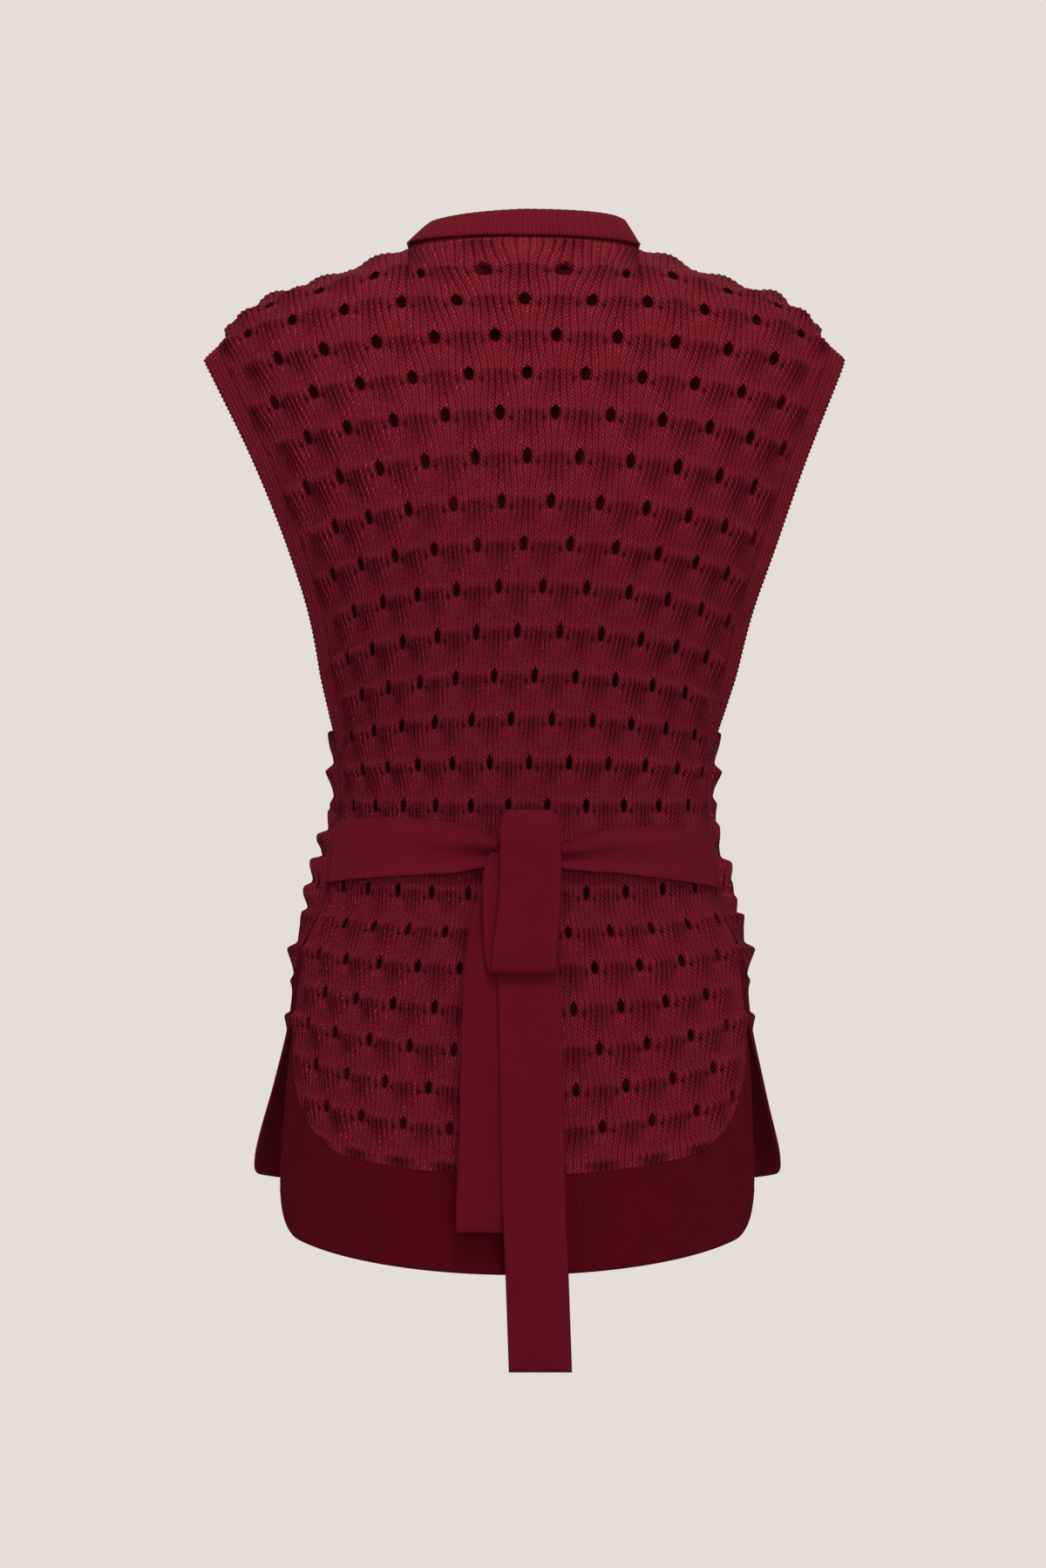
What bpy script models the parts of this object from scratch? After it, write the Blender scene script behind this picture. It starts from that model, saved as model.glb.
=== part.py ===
"""Sleeveless openwork knit vest, in the hollow form it has when worn, tied with its own belt at the back.

Metres, +Z up. The back of the vest faces -Y and the front faces +Y. The origin lies between the two
neck ends of the shoulder seams, where shoulders hold the vest up.

Every piece of the knit is cut from one of two cloths, the back and the front. A point of a cloth is named
by its REPEAT across the knit, 0 at the middle, and its ROW down the knit, both in units of the openwork
pattern. cloth_point() wraps such a point round the worn form, and each piece is an outline drawn in
repeats and rows, wrapped, and given its thickness outwards. So neighbours share their seam exactly.
"""
import math

import bmesh
import bpy
import numpy as np
from mathutils import Vector
from mathutils.geometry import delaunay_2d_cdt

# ---- the cloth and the openwork pattern --------------------------------------------------------------
WALL = 0.0020                # thickness of the knit where it lies plain
SEAM_GAP = 0.0003            # clear space between two pieces at a seam
HALF_REPEATS = 5.8           # repeats from the middle of a panel to its side edge
REPEAT_WIDTH = 0.0290        # mean width of one repeat, to set seam gaps in repeats
ROW_HEIGHT = 0.0270          # mean height of one row of eyelets
EYELET_WIDTH = 0.20          # in repeats
EYELET_HEIGHT = 0.31         # in rows
PEAK_TALL = 0.0046           # how far the knit's peaks stand out where it hangs loose
PEAK_FLAT = 0.0024           # and where it is stretched flat, between the shoulder blades
PEAK_FOOT = 0.0004           # the hollow just above a peak
PEAK_FOOT_ROWS = 0.30        # how far above the peak that hollow lies, in rows
CUT_REPEATS = 3.6            # eyelets are cut through out to here, and are under 4 mm beyond it
PATTERN_LEAN = -0.38         # the middle of the pattern drifts this far to one side on its way down

# ---- rows where pieces end -------------------------------------------------------------------------------
ROW_TOP = -0.40              # shoulder seams, and the back of the neck
ROW_YOKE = 3.0               # above this row the cloth rolls over the shoulder
ROW_UNDERARM = 12.4
ROW_SLIT = 16.3              # side seams end here and the side slits begin
ROW_FRONT_NECK = 1.50        # lowest point of the front neckline
BELT_ROW = 15.05             # middle of the belt
ROW_BACK_BAND, ROW_BACK_HEM = 23.2, 25.5      # top and bottom of the ribbed hem band, at the middle
ROW_FRONT_BAND, ROW_FRONT_HEM = 22.1, 24.4
NECK_REPEATS = 1.9           # half width of the neck opening
BORDER_REPEATS = 0.72        # width of the ribbed border beside a slit
OUTER_CORNER = (1.05, 1.15)  # rounding of the hem's corners, in repeats and rows
INNER_CORNER = (0.75, 0.80)

# ---- the worn form ---------------------------------------------------------------------------------------
# One line for each section of the body form. height is the middle of the row, edge_x and edge_y its side
# edge on the back cloth, side_drop how far that edge hangs below the middle, back_turn and front_turn the
# angle that half a section turns through, and spread how much wider the middle repeats are than the rest.
FORM_COLUMNS = ("row", "height", "back", "front", "edge_x", "edge_y", "side_drop", "back_turn",
                "front_turn", "spread", "sideways")
FORM = (
    (3.0, -0.067, 0.088, 0.078, 0.1935, 0.036, 0.019, 50, 50, 0.15, 0.0020),
    (5.0, -0.118, 0.101, 0.098, 0.1708, 0.046, 0.021, 50, 50, 0.14, 0.0042),
    (7.0, -0.175, 0.106, 0.112, 0.1494, 0.048, 0.023, 52, 52, 0.12, 0.0056),
    (9.0, -0.229, 0.100, 0.116, 0.1333, 0.042, 0.023, 57, 60, 0.09, 0.0046),
    (11.0, -0.286, 0.091, 0.109, 0.1245, 0.031, 0.018, 63, 80, 0.05, 0.0025),
    (12.4, -0.325, 0.087, 0.103, 0.1215, 0.020, 0.011, 68, 104, 0.03, 0.0010),
    (14.0, -0.370, 0.083, 0.097, 0.1195, 0.018, 0.000, 71, 107, 0.00, 0.0000),
    (15.0, -0.398, 0.083, 0.097, 0.1235, 0.020, -0.003, 71, 107, 0.00, -0.0005),
    (16.3, -0.435, 0.087, 0.101, 0.1270, 0.025, -0.006, 70, 114, 0.00, -0.0010),
    (18.0, -0.475, 0.095, 0.106, 0.1420, 0.029, -0.010, 72, 106, 0.03, -0.0015),
    (20.0, -0.527, 0.104, 0.110, 0.1475, 0.032, -0.019, 73, 100, 0.05, -0.0020),
    (22.0, -0.577, 0.111, 0.114, 0.1515, 0.034, -0.024, 74, 97, 0.06, -0.0027),
    (23.2, -0.605, 0.114, 0.116, 0.1530, 0.035, -0.025, 75, 96, 0.06, -0.0034),
    (25.5, -0.668, 0.118, 0.119, 0.1568, 0.036, -0.023, 75, 95, 0.06, -0.0040),
)
# How far the front cloth's side edge lies from the back cloth's, which is not at all along the side
# seams, and how many repeats of the knit lie between the front's middle and that edge.
FRONT_EDGE_COLUMNS = ("row", "outward", "forward", "repeats")
FRONT_EDGE = (
    (3.0, -0.003, 0.072, 5.8),
    (5.0, -0.006, 0.094, 5.8),
    (7.0, -0.004, 0.100, 5.8),
    (9.0, -0.002, 0.088, 5.9),
    (11.0, 0.000, 0.050, 6.4),
    (12.4, 0.000, 0.000, 7.0),
    (16.3, 0.000, 0.000, 7.0),
    (18.0, 0.001, 0.016, 7.0),
    (20.0, 0.003, 0.028, 7.0),
    (22.1, 0.010, 0.034, 7.0),
    (24.4, 0.0215, 0.038, 7.0),
)
# The round lower end of the armholes, as repeats cut away from each cloth's side edge.
ARMHOLE_COLUMNS = ("row", "back_cut", "front_cut")
ARMHOLE_CURVE = (
    (10.20, 0.00, 0.00),
    (10.80, 0.10, 0.14),
    (11.30, 0.22, 0.36),
    (11.70, 0.31, 0.52),
    (12.00, 0.34, 0.54),
    (12.20, 0.29, 0.44),
    (12.33, 0.17, 0.27),
    (12.40, 0.00, 0.00),
)
# The crest of the shoulder, from the neck to the armhole band.
SHOULDER_COLUMNS = ("reach", "across", "height")
SHOULDER = (
    (0.00, 0.0740, 0.0000),
    (0.22, 0.1050, -0.0130),
    (0.47, 0.1400, -0.0255),
    (0.70, 0.1690, -0.0360),
    (0.86, 0.1860, -0.0500),
    (1.00, 0.1958, -0.0660),
)
NECK_HALF_WIDTH = 0.0740
NECK_BACK_DEPTH = 0.0580
ROLL_LENGTH = 0.105          # how strongly the cloth rolls back from the crest before it falls
NECK_SLOPE = (0.060, 0.045)  # the same at the back of the neck: back and down

# ---- bands --------------------------------------------------------------------------------------------------
ARMHOLE_BAND = 0.0150        # width of the armhole bands
ARMHOLE_STATIONS = 17        # stations up each side of an armhole, above its round lower end
NECKBAND_HEIGHT = 0.0185
NECKBAND_RIBS = 76
RIB_DEPTH = 0.0010
NECK_SWAY = 0.27             # the neckband's sideways lean
NECK_LEAN_COLUMNS = ("angle", "inward")
NECK_LEAN = ((0, 0.45), (90, 1.05), (180, 0.70))   # inward lean of the neckband, back to front

# ---- belt ----------------------------------------------------------------------------------------------------
BELT_CLOTH = 0.0014
BELT_CLEAR = 0.0040          # the belt's inner face over the panel's plain face
# The straps, from the side seam to the knot, in repeats across and rows down.
STRAP_COLUMNS = ("repeat", "upper", "lower", "pleat")
LEFT_STRAP = (
    (-5.70, 14.42, 15.92, 0.0000),
    (-4.40, 14.33, 15.80, 0.0004),
    (-3.00, 14.28, 15.68, 0.0010),
    (-2.00, 14.45, 15.55, 0.0020),
    (-1.10, 14.90, 15.48, 0.0026),
    (-0.62, 15.00, 15.46, 0.0026),
)
RIGHT_STRAP = (
    (0.98, 14.98, 15.46, 0.0026),
    (1.50, 14.84, 15.52, 0.0026),
    (2.50, 14.52, 15.60, 0.0018),
    (3.60, 14.52, 15.75, 0.0009),
    (4.80, 14.66, 15.95, 0.0003),
    (5.70, 14.72, 16.12, 0.0000),
)
STRAP_PLEATS = 2.5           # waves across the width of a strap where it is gathered
# The half bow and the tails: the middle of each strip, how far it stands off, and its half width.
STRIP_COLUMNS = ("across", "depth", "height", "half_width")
BOW_FRONT_LAYER = (
    (0.0030, -0.0925, -0.3835, 0.0150),
    (0.0040, -0.0985, -0.3745, 0.0180),
    (0.0050, -0.1065, -0.3750, 0.0190),
    (0.0050, -0.1110, -0.3850, 0.0195),
    (0.0050, -0.1135, -0.4100, 0.0195),
    (0.0035, -0.1170, -0.4400, 0.0200),
    (0.0010, -0.1208, -0.4610, 0.0205),
)
BOW_FOLD = ((0.0005, -0.1208, -0.4685, 0.0205), (-0.0010, -0.1186, -0.4702, 0.0205))
BOW_BACK_LAYER = (
    (-0.0030, -0.1168, -0.4645, 0.0205),
    (-0.0055, -0.1142, -0.4400, 0.0200),
    (-0.0065, -0.1105, -0.4150, 0.0190),
    (-0.0060, -0.1078, -0.4000, 0.0150),
)
SHORT_TAIL = (
    (-0.0060, -0.1010, -0.4080, 0.0120),
    (-0.0110, -0.1030, -0.4250, 0.0170),
    (-0.0150, -0.1075, -0.4500, 0.0195),
    (-0.0180, -0.1135, -0.4900, 0.0200),
    (-0.0195, -0.1185, -0.5300, 0.0200),
    (-0.0205, -0.1240, -0.5800, 0.0200),
    (-0.0225, -0.1270, -0.6300, 0.0200),
    (-0.0225, -0.1275, -0.6400, 0.0195),
)
LONG_TAIL = (
    (0.0020, -0.1048, -0.4080, 0.0110),
    (0.0020, -0.1062, -0.4200, 0.0150),
    (0.0030, -0.1092, -0.4500, 0.0190),
    (0.0035, -0.1140, -0.4800, 0.0198),
    (0.0050, -0.1200, -0.5200, 0.0200),
    (0.0058, -0.1262, -0.5700, 0.0200),
    (0.0070, -0.1305, -0.6200, 0.0200),
    (0.0090, -0.1320, -0.6700, 0.0200),
    (0.0110, -0.1320, -0.7275, 0.0200),
)
KNOT_CENTRE = (0.0040, -0.0985, -0.3930)
KNOT_SIZE = (0.0300, 0.0090, 0.0180)

KNIT_COLOUR = (0.105, 0.0085, 0.022, 1.0)
RIB_COLOUR = (0.115, 0.0085, 0.024, 1.0)
BELT_COLOUR = (0.125, 0.0105, 0.026, 1.0)
BACK, FRONT = -1, 1


# ---- tables -------------------------------------------------------------------------------------------------
def read_table(rows, place):
    """Columns of a table at the given places in its first column, by monotone cubic interpolation."""
    table = np.array(rows, float)
    knots = table[:, 0]
    place = np.clip(np.asarray(place, float), knots[0], knots[-1])
    step = np.diff(knots)
    results = []
    for values in table[:, 1:].T:
        rise = np.diff(values) / step
        slope = np.zeros(len(knots))
        slope[0], slope[-1] = rise[0], rise[-1]
        same_way = rise[:-1] * rise[1:] > 0
        first = 2 * step[1:] + step[:-1]
        second = step[1:] + 2 * step[:-1]
        safe = np.where(same_way, rise[:-1], 1.0), np.where(same_way, rise[1:], 1.0)
        slope[1:-1] = np.where(same_way, (first + second) / (first / safe[0] + second / safe[1]), 0.0)
        index = np.clip(np.searchsorted(knots, place, side="right") - 1, 0, len(step) - 1)
        t = (place - knots[index]) / step[index]
        results.append(values[index] * (1 + 2 * t) * (1 - t) ** 2
                       + slope[index] * step[index] * t * (1 - t) ** 2
                       + values[index + 1] * t * t * (3 - 2 * t)
                       + slope[index + 1] * step[index] * t * t * (t - 1))
    return results


def smooth_step(value):
    """0 below 0, 1 above 1, and a smooth ramp between."""
    value = np.clip(value, 0.0, 1.0)
    return value * value * (3 - 2 * value)


# ---- the worn form --------------------------------------------------------------------------------------------
def edge_repeat(side, row):
    """Repeats between the middle of a cloth and its side edge."""
    return read_table(FRONT_EDGE, row)[2] if side == FRONT else np.full(np.shape(row), HALF_REPEATS)


def section_point(side, repeat, row):
    """A point on a section of the body form: an arc from the middle of the cloth to its side edge."""
    height, back, front, edge_x, edge_y, drop, back_turn, front_turn, spread, sideways = \
        read_table(FORM, row)
    outward, forward, _ = read_table(FRONT_EDGE, row)
    middle, turn = (back, np.radians(back_turn)) if side == BACK else (front, np.radians(front_turn))
    if side == FRONT:
        edge_x, edge_y = edge_x + outward, forward - edge_y
    across = edge_x / np.sin(turn)
    along = (middle - edge_y) / (1 - np.cos(turn))
    reach = np.abs(repeat) / edge_repeat(side, row)
    share = reach * (1 + spread) - spread * reach ** 3
    mean, swing = (across + along) / 2, (across - along) / 2
    wanted = share * (mean * turn + swing / 2 * np.sin(2 * turn))
    angle = share * turn
    for _ in range(3):
        angle = angle - (mean * angle + swing / 2 * np.sin(2 * angle) - wanted) / (mean + swing * np.cos(2 * angle))
    return np.stack([sideways + np.sign(repeat) * across * np.sin(angle),
                     side * (middle - along * (1 - np.cos(angle))),
                     height - drop * reach ** 2], axis=-1)


def crest_point(side, repeat):
    """The top edge of a cloth, along the neck and the shoulder's crest, and the way the cloth leaves it."""
    size = np.abs(repeat)
    reach = np.clip((size - NECK_REPEATS) / (HALF_REPEATS - NECK_REPEATS), 0.0, 1.0)
    across, height = read_table(SHOULDER, reach)
    quarter = np.clip(size / NECK_REPEATS, 0.0, 1.0) * math.pi / 2
    on_neck = size < NECK_REPEATS
    if side == BACK:
        neck_x, neck_y = NECK_HALF_WIDTH * np.sin(quarter), -NECK_BACK_DEPTH * np.cos(quarter)
    else:
        neck_x, neck_y = NECK_HALF_WIDTH * size / NECK_REPEATS, 0.020 * np.cos(quarter)
    blend = smooth_step((size - 0.75 * NECK_REPEATS) / (0.5 * NECK_REPEATS))
    slope_back = NECK_SLOPE[0] + (ROLL_LENGTH - NECK_SLOPE[0]) * blend
    slope_down = NECK_SLOPE[1] * (1 - blend) + 0.020 * smooth_step((size - 4.4) / 1.4)
    point = np.stack([np.sign(repeat) * np.where(on_neck, neck_x, across),
                      np.where(on_neck, neck_y, 0.0),
                      np.where(on_neck, 0.0, height)], axis=-1)
    leaving = np.stack([np.zeros_like(size), side * slope_back, -slope_down], axis=-1)
    return point, leaving


def cloth_point(side, repeat, row):
    """The form's surface: sections below the yoke, and above it a roll from the crest down to the yoke."""
    repeat, row = np.broadcast_arrays(np.asarray(repeat, float), np.asarray(row, float))
    lower = section_point(side, repeat, np.maximum(row, ROW_YOKE))
    yoke = section_point(side, repeat, np.full(row.shape, ROW_YOKE))
    nudge = 0.1
    falling = (section_point(side, repeat, np.full(row.shape, ROW_YOKE + nudge)) - yoke) / nudge
    crest, leaving = crest_point(side, repeat)
    t = np.clip((row - ROW_TOP) / (ROW_YOKE - ROW_TOP), 0.0, 1.0)[..., None]
    rolled = (crest * (1 + 2 * t) * (1 - t) ** 2 + leaving * t * (1 - t) ** 2
              + yoke * t * t * (3 - 2 * t) + falling * (ROW_YOKE - ROW_TOP) * t * t * (t - 1))
    return np.where((row < ROW_YOKE)[..., None], rolled, lower)


def unit(vectors):
    return vectors / np.linalg.norm(vectors, axis=-1, keepdims=True)


def cloth_normal(side, repeat, row):
    """The outward direction of the form, square to its two directions of growth."""
    small = 0.02
    limit = edge_repeat(side, row)
    left = np.maximum(np.asarray(repeat, float) - small, -limit)
    right = np.minimum(np.asarray(repeat, float) + small, limit)
    above = np.maximum(np.asarray(row, float) - small, ROW_TOP)
    below = np.minimum(np.asarray(row, float) + small, ROW_BACK_HEM)
    across = cloth_point(side, right, row) - cloth_point(side, left, row)
    down = cloth_point(side, repeat, below) - cloth_point(side, repeat, above)
    return side * unit(np.cross(across, down))


def seam_normal(side, repeat, row):
    """The outward direction, shared by both cloths along the side seams so that neither leans on the other."""
    own = cloth_normal(side, repeat, row)
    other = cloth_normal(-side, np.sign(repeat) * edge_repeat(-side, row), row)
    at_edge = np.abs(repeat) > edge_repeat(side, row) - 0.05
    at_seam = at_edge & (row > ROW_UNDERARM - 0.01) & (row < ROW_SLIT + 1.1)
    return np.where(at_seam[..., None], unit(own + other), own)


# ---- the openwork pattern ----------------------------------------------------------------------------------------
def lean(repeat, row):
    """How far the pattern has drifted sideways at a row, dying out towards the side edges."""
    inward = np.clip(1 - (np.asarray(repeat) / HALF_REPEATS) ** 2, 0, 1)
    return PATTERN_LEAN * smooth_step((np.asarray(row) - 3) / 11) * inward


def pattern_columns(side, row, offset):
    """Columns of eyelets on a row, or of the peaks halfway between them; the front's are half a repeat over."""
    columns = np.arange(-8, 9) + 0.5 * ((row + offset + (side == FRONT)) % 2)
    return columns + lean(columns, row)


def peak_height(repeat, row):
    """How far a peak stands out: less where the cloth is stretched flat, almost none under the belt."""
    loose = max(min(1.0, (repeat / HALF_REPEATS) ** 2), smooth_step((row - 13) / 5))
    under_belt = smooth_step(1.6 - abs(row - BELT_ROW))
    return (PEAK_FLAT + (PEAK_TALL - PEAK_FLAT) * loose) * (1 - 0.85 * under_belt)


def eyelet_corners(repeat, row):
    """A five-cornered eyelet, pointed above."""
    half, tall = EYELET_WIDTH / 2, EYELET_HEIGHT
    return [(repeat, row - 0.58 * tall), (repeat + half, row - 0.16 * tall),
            (repeat + 0.75 * half, row + 0.42 * tall), (repeat - 0.75 * half, row + 0.42 * tall),
            (repeat - half, row - 0.16 * tall)]


# ---- outlines in repeats and rows ------------------------------------------------------------------------------------
def quarter_round(centre, radii, start, steps=4):
    """Points of a quarter ellipse in repeats and rows, from an angle in degrees."""
    angles = np.radians(start + np.linspace(0, 90, steps + 1))
    return [(centre[0] + radii[0] * math.cos(a), centre[1] + radii[1] * math.sin(a)) for a in angles]


def neck_row(repeat):
    """The front neckline: half an ellipse hung between the neck ends of the shoulder seams."""
    return ROW_TOP + (ROW_FRONT_NECK - ROW_TOP) * math.sqrt(max(0.0, 1 - (repeat / NECK_REPEATS) ** 2))


def neck_repeats():
    """Repeats at which the neckline has a point, from the middle to its end."""
    return [NECK_REPEATS * math.sin(math.radians(a)) for a in np.linspace(0, 90, 14)]


def armhole_edge(side):
    """Repeats and rows of a cloth's armhole edge, from the shoulder to the underarm."""
    curve_rows = [line[0] for line in ARMHOLE_CURVE]
    rows = np.array(list(np.linspace(ROW_TOP, curve_rows[0], ARMHOLE_STATIONS)) + curve_rows[1:])
    return edge_repeat(side, rows) - read_table(ARMHOLE_CURVE, rows)[0 if side == BACK else 1], rows


def mirrored(right_half):
    """A closed outline from its right half, which starts at the top middle and ends at the bottom middle."""
    left_half = [(-x, y) for x, y in reversed(right_half) if abs(x) > 1e-9]
    return right_half + left_half


def panel_outline(side, inset):
    """A panel: the neck, the shoulders, the sides, and the rounded bottom inside the ribbed band."""
    across, down = inset / REPEAT_WIDTH, inset / ROW_HEIGHT
    band = ROW_BACK_BAND if side == BACK else ROW_FRONT_BAND
    seam = float(edge_repeat(side, ROW_SLIT))
    inner = seam - BORDER_REPEATS - across
    top = [(u, ROW_TOP + 2 * down if side == BACK else neck_row(u) + 2 * down) for u in neck_repeats()]
    shoulder = [(u, ROW_TOP + down) for u in np.linspace(NECK_REPEATS, HALF_REPEATS - 2 * across, 6)[1:]]
    edge = [(u - 2 * across, v) for u, v in zip(*armhole_edge(side))][1:-1]
    side_seam = [(seam - across, v) for v in np.linspace(ROW_UNDERARM + down, ROW_SLIT, 5)]
    slit_side = [(inner, ROW_SLIT)] + [(inner, v) for v in np.arange(17.3, band - INNER_CORNER[1] - 0.4)]
    corner = quarter_round((inner - INNER_CORNER[0], band - INNER_CORNER[1] - down), INNER_CORNER, 0)
    bottom = [(u, band - down) for u in np.linspace(inner - INNER_CORNER[0], 0, 7)[1:]]
    return mirrored(top + shoulder + edge + side_seam + slit_side + corner + bottom)


def hem_outline(side, inset):
    """The ribbed band: the slit borders down both sides and the deep band across the bottom."""
    across, down = inset / REPEAT_WIDTH, inset / ROW_HEIGHT
    band, hem = (ROW_BACK_BAND, ROW_BACK_HEM) if side == BACK else (ROW_FRONT_BAND, ROW_FRONT_HEM)
    seam = float(edge_repeat(side, ROW_SLIT))
    inner = seam - BORDER_REPEATS + across
    top = [(u, band + down) for u in np.linspace(0, inner - INNER_CORNER[0], 7)[:-1]]
    corner = quarter_round((inner - INNER_CORNER[0], band - INNER_CORNER[1] + down), INNER_CORNER, 0)[::-1]
    rise = [(inner, v) for v in np.arange(17.3, band - INNER_CORNER[1] - 0.4)][::-1]
    seam -= across
    head = [(inner, ROW_SLIT + down), (seam, ROW_SLIT + down)]
    fall = [(seam, v) for v in np.arange(17.3, hem - OUTER_CORNER[1] - 0.4)]
    outer = quarter_round((seam - OUTER_CORNER[0], hem - OUTER_CORNER[1]), OUTER_CORNER, 0, 6)
    bottom = [(u, hem) for u in np.linspace(seam - OUTER_CORNER[0], 0, 8)[1:]]
    return mirrored(top + corner + rise + head + fall + outer + bottom)


def inside(point, outline, margin):
    """Whether a point lies in an outline, clear of its edge by a margin, all in repeats and rows."""
    x, y = point
    ends = np.array(outline)
    starts = np.roll(ends, 1, axis=0)
    crosses = (starts[:, 1] > y) != (ends[:, 1] > y)
    rise = np.where(crosses, ends[:, 1] - starts[:, 1], 1.0)
    reached = starts[:, 0] + (y - starts[:, 1]) / rise * (ends[:, 0] - starts[:, 0])
    if np.count_nonzero(crosses & (reached > x)) % 2 == 0:
        return False
    run = ends - starts
    share = np.clip(((point - starts) * run).sum(axis=1) / np.maximum((run * run).sum(axis=1), 1e-12), 0, 1)
    return np.min(np.linalg.norm(starts + share[:, None] * run - point, axis=1)) > margin


# ---- walls -----------------------------------------------------------------------------------------------------------
def triangulate(outline, holes, points):
    """Triangles of a flat outline with holes, through its inner points, by constrained Delaunay."""
    flat = list(outline)
    loops = [list(range(len(outline)))]
    for hole in holes:
        loops.append(list(range(len(flat), len(flat) + len(hole))))
        flat += hole
    flat += points
    scaled = [Vector((x * REPEAT_WIDTH * 1000, y * ROW_HEIGHT * 1000)) for x, y in flat]
    places, _, faces, came_from, _, face_loops = delaunay_2d_cdt(scaled, [], loops, 0, 1e-5, True)
    kept = [[came_from[i][0] for i in face] for face, loop in zip(faces, face_loops) if loop == [0]]
    return flat, kept


def closed_wall(name, inner, outer, faces):
    """A closed solid between an inner and an outer surface that share their faces."""
    mesh = bpy.data.meshes.new(name)
    count = len(inner)
    sides = {}
    for face in faces:
        for a, b in zip(face, face[1:] + face[:1]):
            if (b, a) in sides:
                del sides[(b, a)]
            else:
                sides[(a, b)] = True
    walls = [[a + count, a, b, b + count] for a, b in sides]
    skin = [[i + count for i in face] for face in faces]
    lining = [face[::-1] for face in faces]
    mesh.from_pydata([tuple(p) for p in np.vstack([inner, outer])], [], skin + lining + walls)
    used = bmesh.new()
    used.from_mesh(mesh)
    bmesh.ops.delete(used, geom=[v for v in used.verts if not v.link_faces], context="VERTS")
    used.to_mesh(mesh)
    used.free()
    mesh.update()
    return bpy.data.objects.new(name, mesh)


def knit_piece(name, side, outline, holes, points, heights):
    """A piece of a cloth: plain inside, and raised outside by the height given for each flat point."""
    flat, faces = triangulate(outline, holes, points)
    repeat, row = np.array(flat).T
    inner = cloth_point(side, repeat, row)
    outer = inner + (WALL + np.asarray(heights))[:, None] * seam_normal(side, repeat, row)
    if side == BACK:
        faces = [face[::-1] for face in faces]
    return closed_wall(name, inner, outer, faces)


def openwork_panel(name, side):
    """The back or the front: eyelets cut through its middle, and a peak between each pair of them."""
    outline = panel_outline(side, SEAM_GAP / 2)
    holes, points, heights = [], [], [0.0] * len(outline)
    for row in range(0, 23):
        for repeat in pattern_columns(side, row, 0):
            corners = eyelet_corners(repeat, row)
            if abs(repeat) < CUT_REPEATS and row > 0 and all(inside(c, outline, 0.25) for c in corners):
                holes.append(corners)
            elif inside((repeat, row), outline, 0.3):
                points.append((repeat, row))
    heights += [PEAK_FOOT] * (sum(len(corners) for corners in holes) + len(points))
    for row in range(0, 24):
        for repeat in pattern_columns(side, row, 1):
            tall = peak_height(repeat, row)
            for place, height in (((repeat, row), tall), ((repeat, row - PEAK_FOOT_ROWS), PEAK_FOOT)):
                if inside(place, outline, 0.22):
                    points.append(place)
                    heights.append(height)
    return knit_piece(name, side, outline, holes, points, heights), len(holes)


def hem_band(name, side):
    """The ribbed band round the bottom and up both slits of one cloth."""
    outline = hem_outline(side, SEAM_GAP / 2)
    band, hem = (ROW_BACK_BAND, ROW_BACK_HEM) if side == BACK else (ROW_FRONT_BAND, ROW_FRONT_HEM)
    reach = float(edge_repeat(side, ROW_SLIT)) - OUTER_CORNER[0]
    points = [(u, (band + hem) / 2) for u in np.linspace(-reach, reach, 13)]
    return knit_piece(name, side, outline, [], points, [0.0] * (len(outline) + len(points)))


def ring_wall(name, inner, outer):
    """A closed band from loops of points: loops[station][k] goes from the seam to the free edge."""
    stations, across = inner.shape[:2]
    index = np.arange(stations * across).reshape(stations, across)
    following = np.roll(index, -1, axis=0)
    faces = [[int(index[i, k]), int(following[i, k]), int(following[i, k + 1]), int(index[i, k + 1])]
             for i in range(stations) for k in range(across - 1)]
    return closed_wall(name, inner.reshape(-1, 3), outer.reshape(-1, 3), faces)


def strip_wall(name, inner, outer):
    """A closed strip, open at its two ends before it gets its thickness."""
    stations, across = inner.shape[:2]
    index = np.arange(stations * across).reshape(stations, across)
    faces = [[int(index[i, k]), int(index[i + 1, k]), int(index[i + 1, k + 1]), int(index[i, k + 1])]
             for i in range(stations - 1) for k in range(across - 1)]
    return closed_wall(name, inner.reshape(-1, 3), outer.reshape(-1, 3), faces)


def outward_object(obj):
    """Turns a closed solid's faces outwards."""
    work = bmesh.new()
    work.from_mesh(obj.data)
    bmesh.ops.recalc_face_normals(work, faces=work.faces)
    work.to_mesh(obj.data)
    work.free()
    return obj


# ---- bands ---------------------------------------------------------------------------------------------------------------
def smoothed(loop, passes):
    """A closed loop of points or directions with its kinks taken out."""
    for _ in range(passes):
        loop = (np.roll(loop, 1, axis=0) + 2 * loop + np.roll(loop, -1, axis=0)) / 4
    return loop


def armhole_band(name, hand):
    """The ribbed band round one armhole: up the back cloth's edge, over the shoulder, down the front's."""
    up_back = [np.array(line)[::-1] for line in armhole_edge(BACK)]
    down_front = [np.array(line)[1:-1] for line in armhole_edge(FRONT)]
    edge = np.vstack([cloth_point(BACK, hand * up_back[0], up_back[1]),
                      cloth_point(FRONT, hand * down_front[0], down_front[1])])
    normal = np.vstack([cloth_normal(BACK, hand * up_back[0], up_back[1]),
                        cloth_normal(FRONT, hand * down_front[0], down_front[1])])
    tangent = unit(np.roll(edge, -1, axis=0) - np.roll(edge, 1, axis=0))
    away = unit(smoothed(-hand * np.cross(normal, tangent), 3))
    outward = unit(smoothed(normal, 2))
    share = np.array([0.0, 0.5, 1.0])[None, :, None]
    start = edge + SEAM_GAP * away
    inner = start[:, None] + share * ARMHOLE_BAND * away[:, None]
    thick = np.where(share == 0, normal[:, None], outward[:, None]) * WALL
    return outward_object(ring_wall(name, inner, inner + thick))


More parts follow.
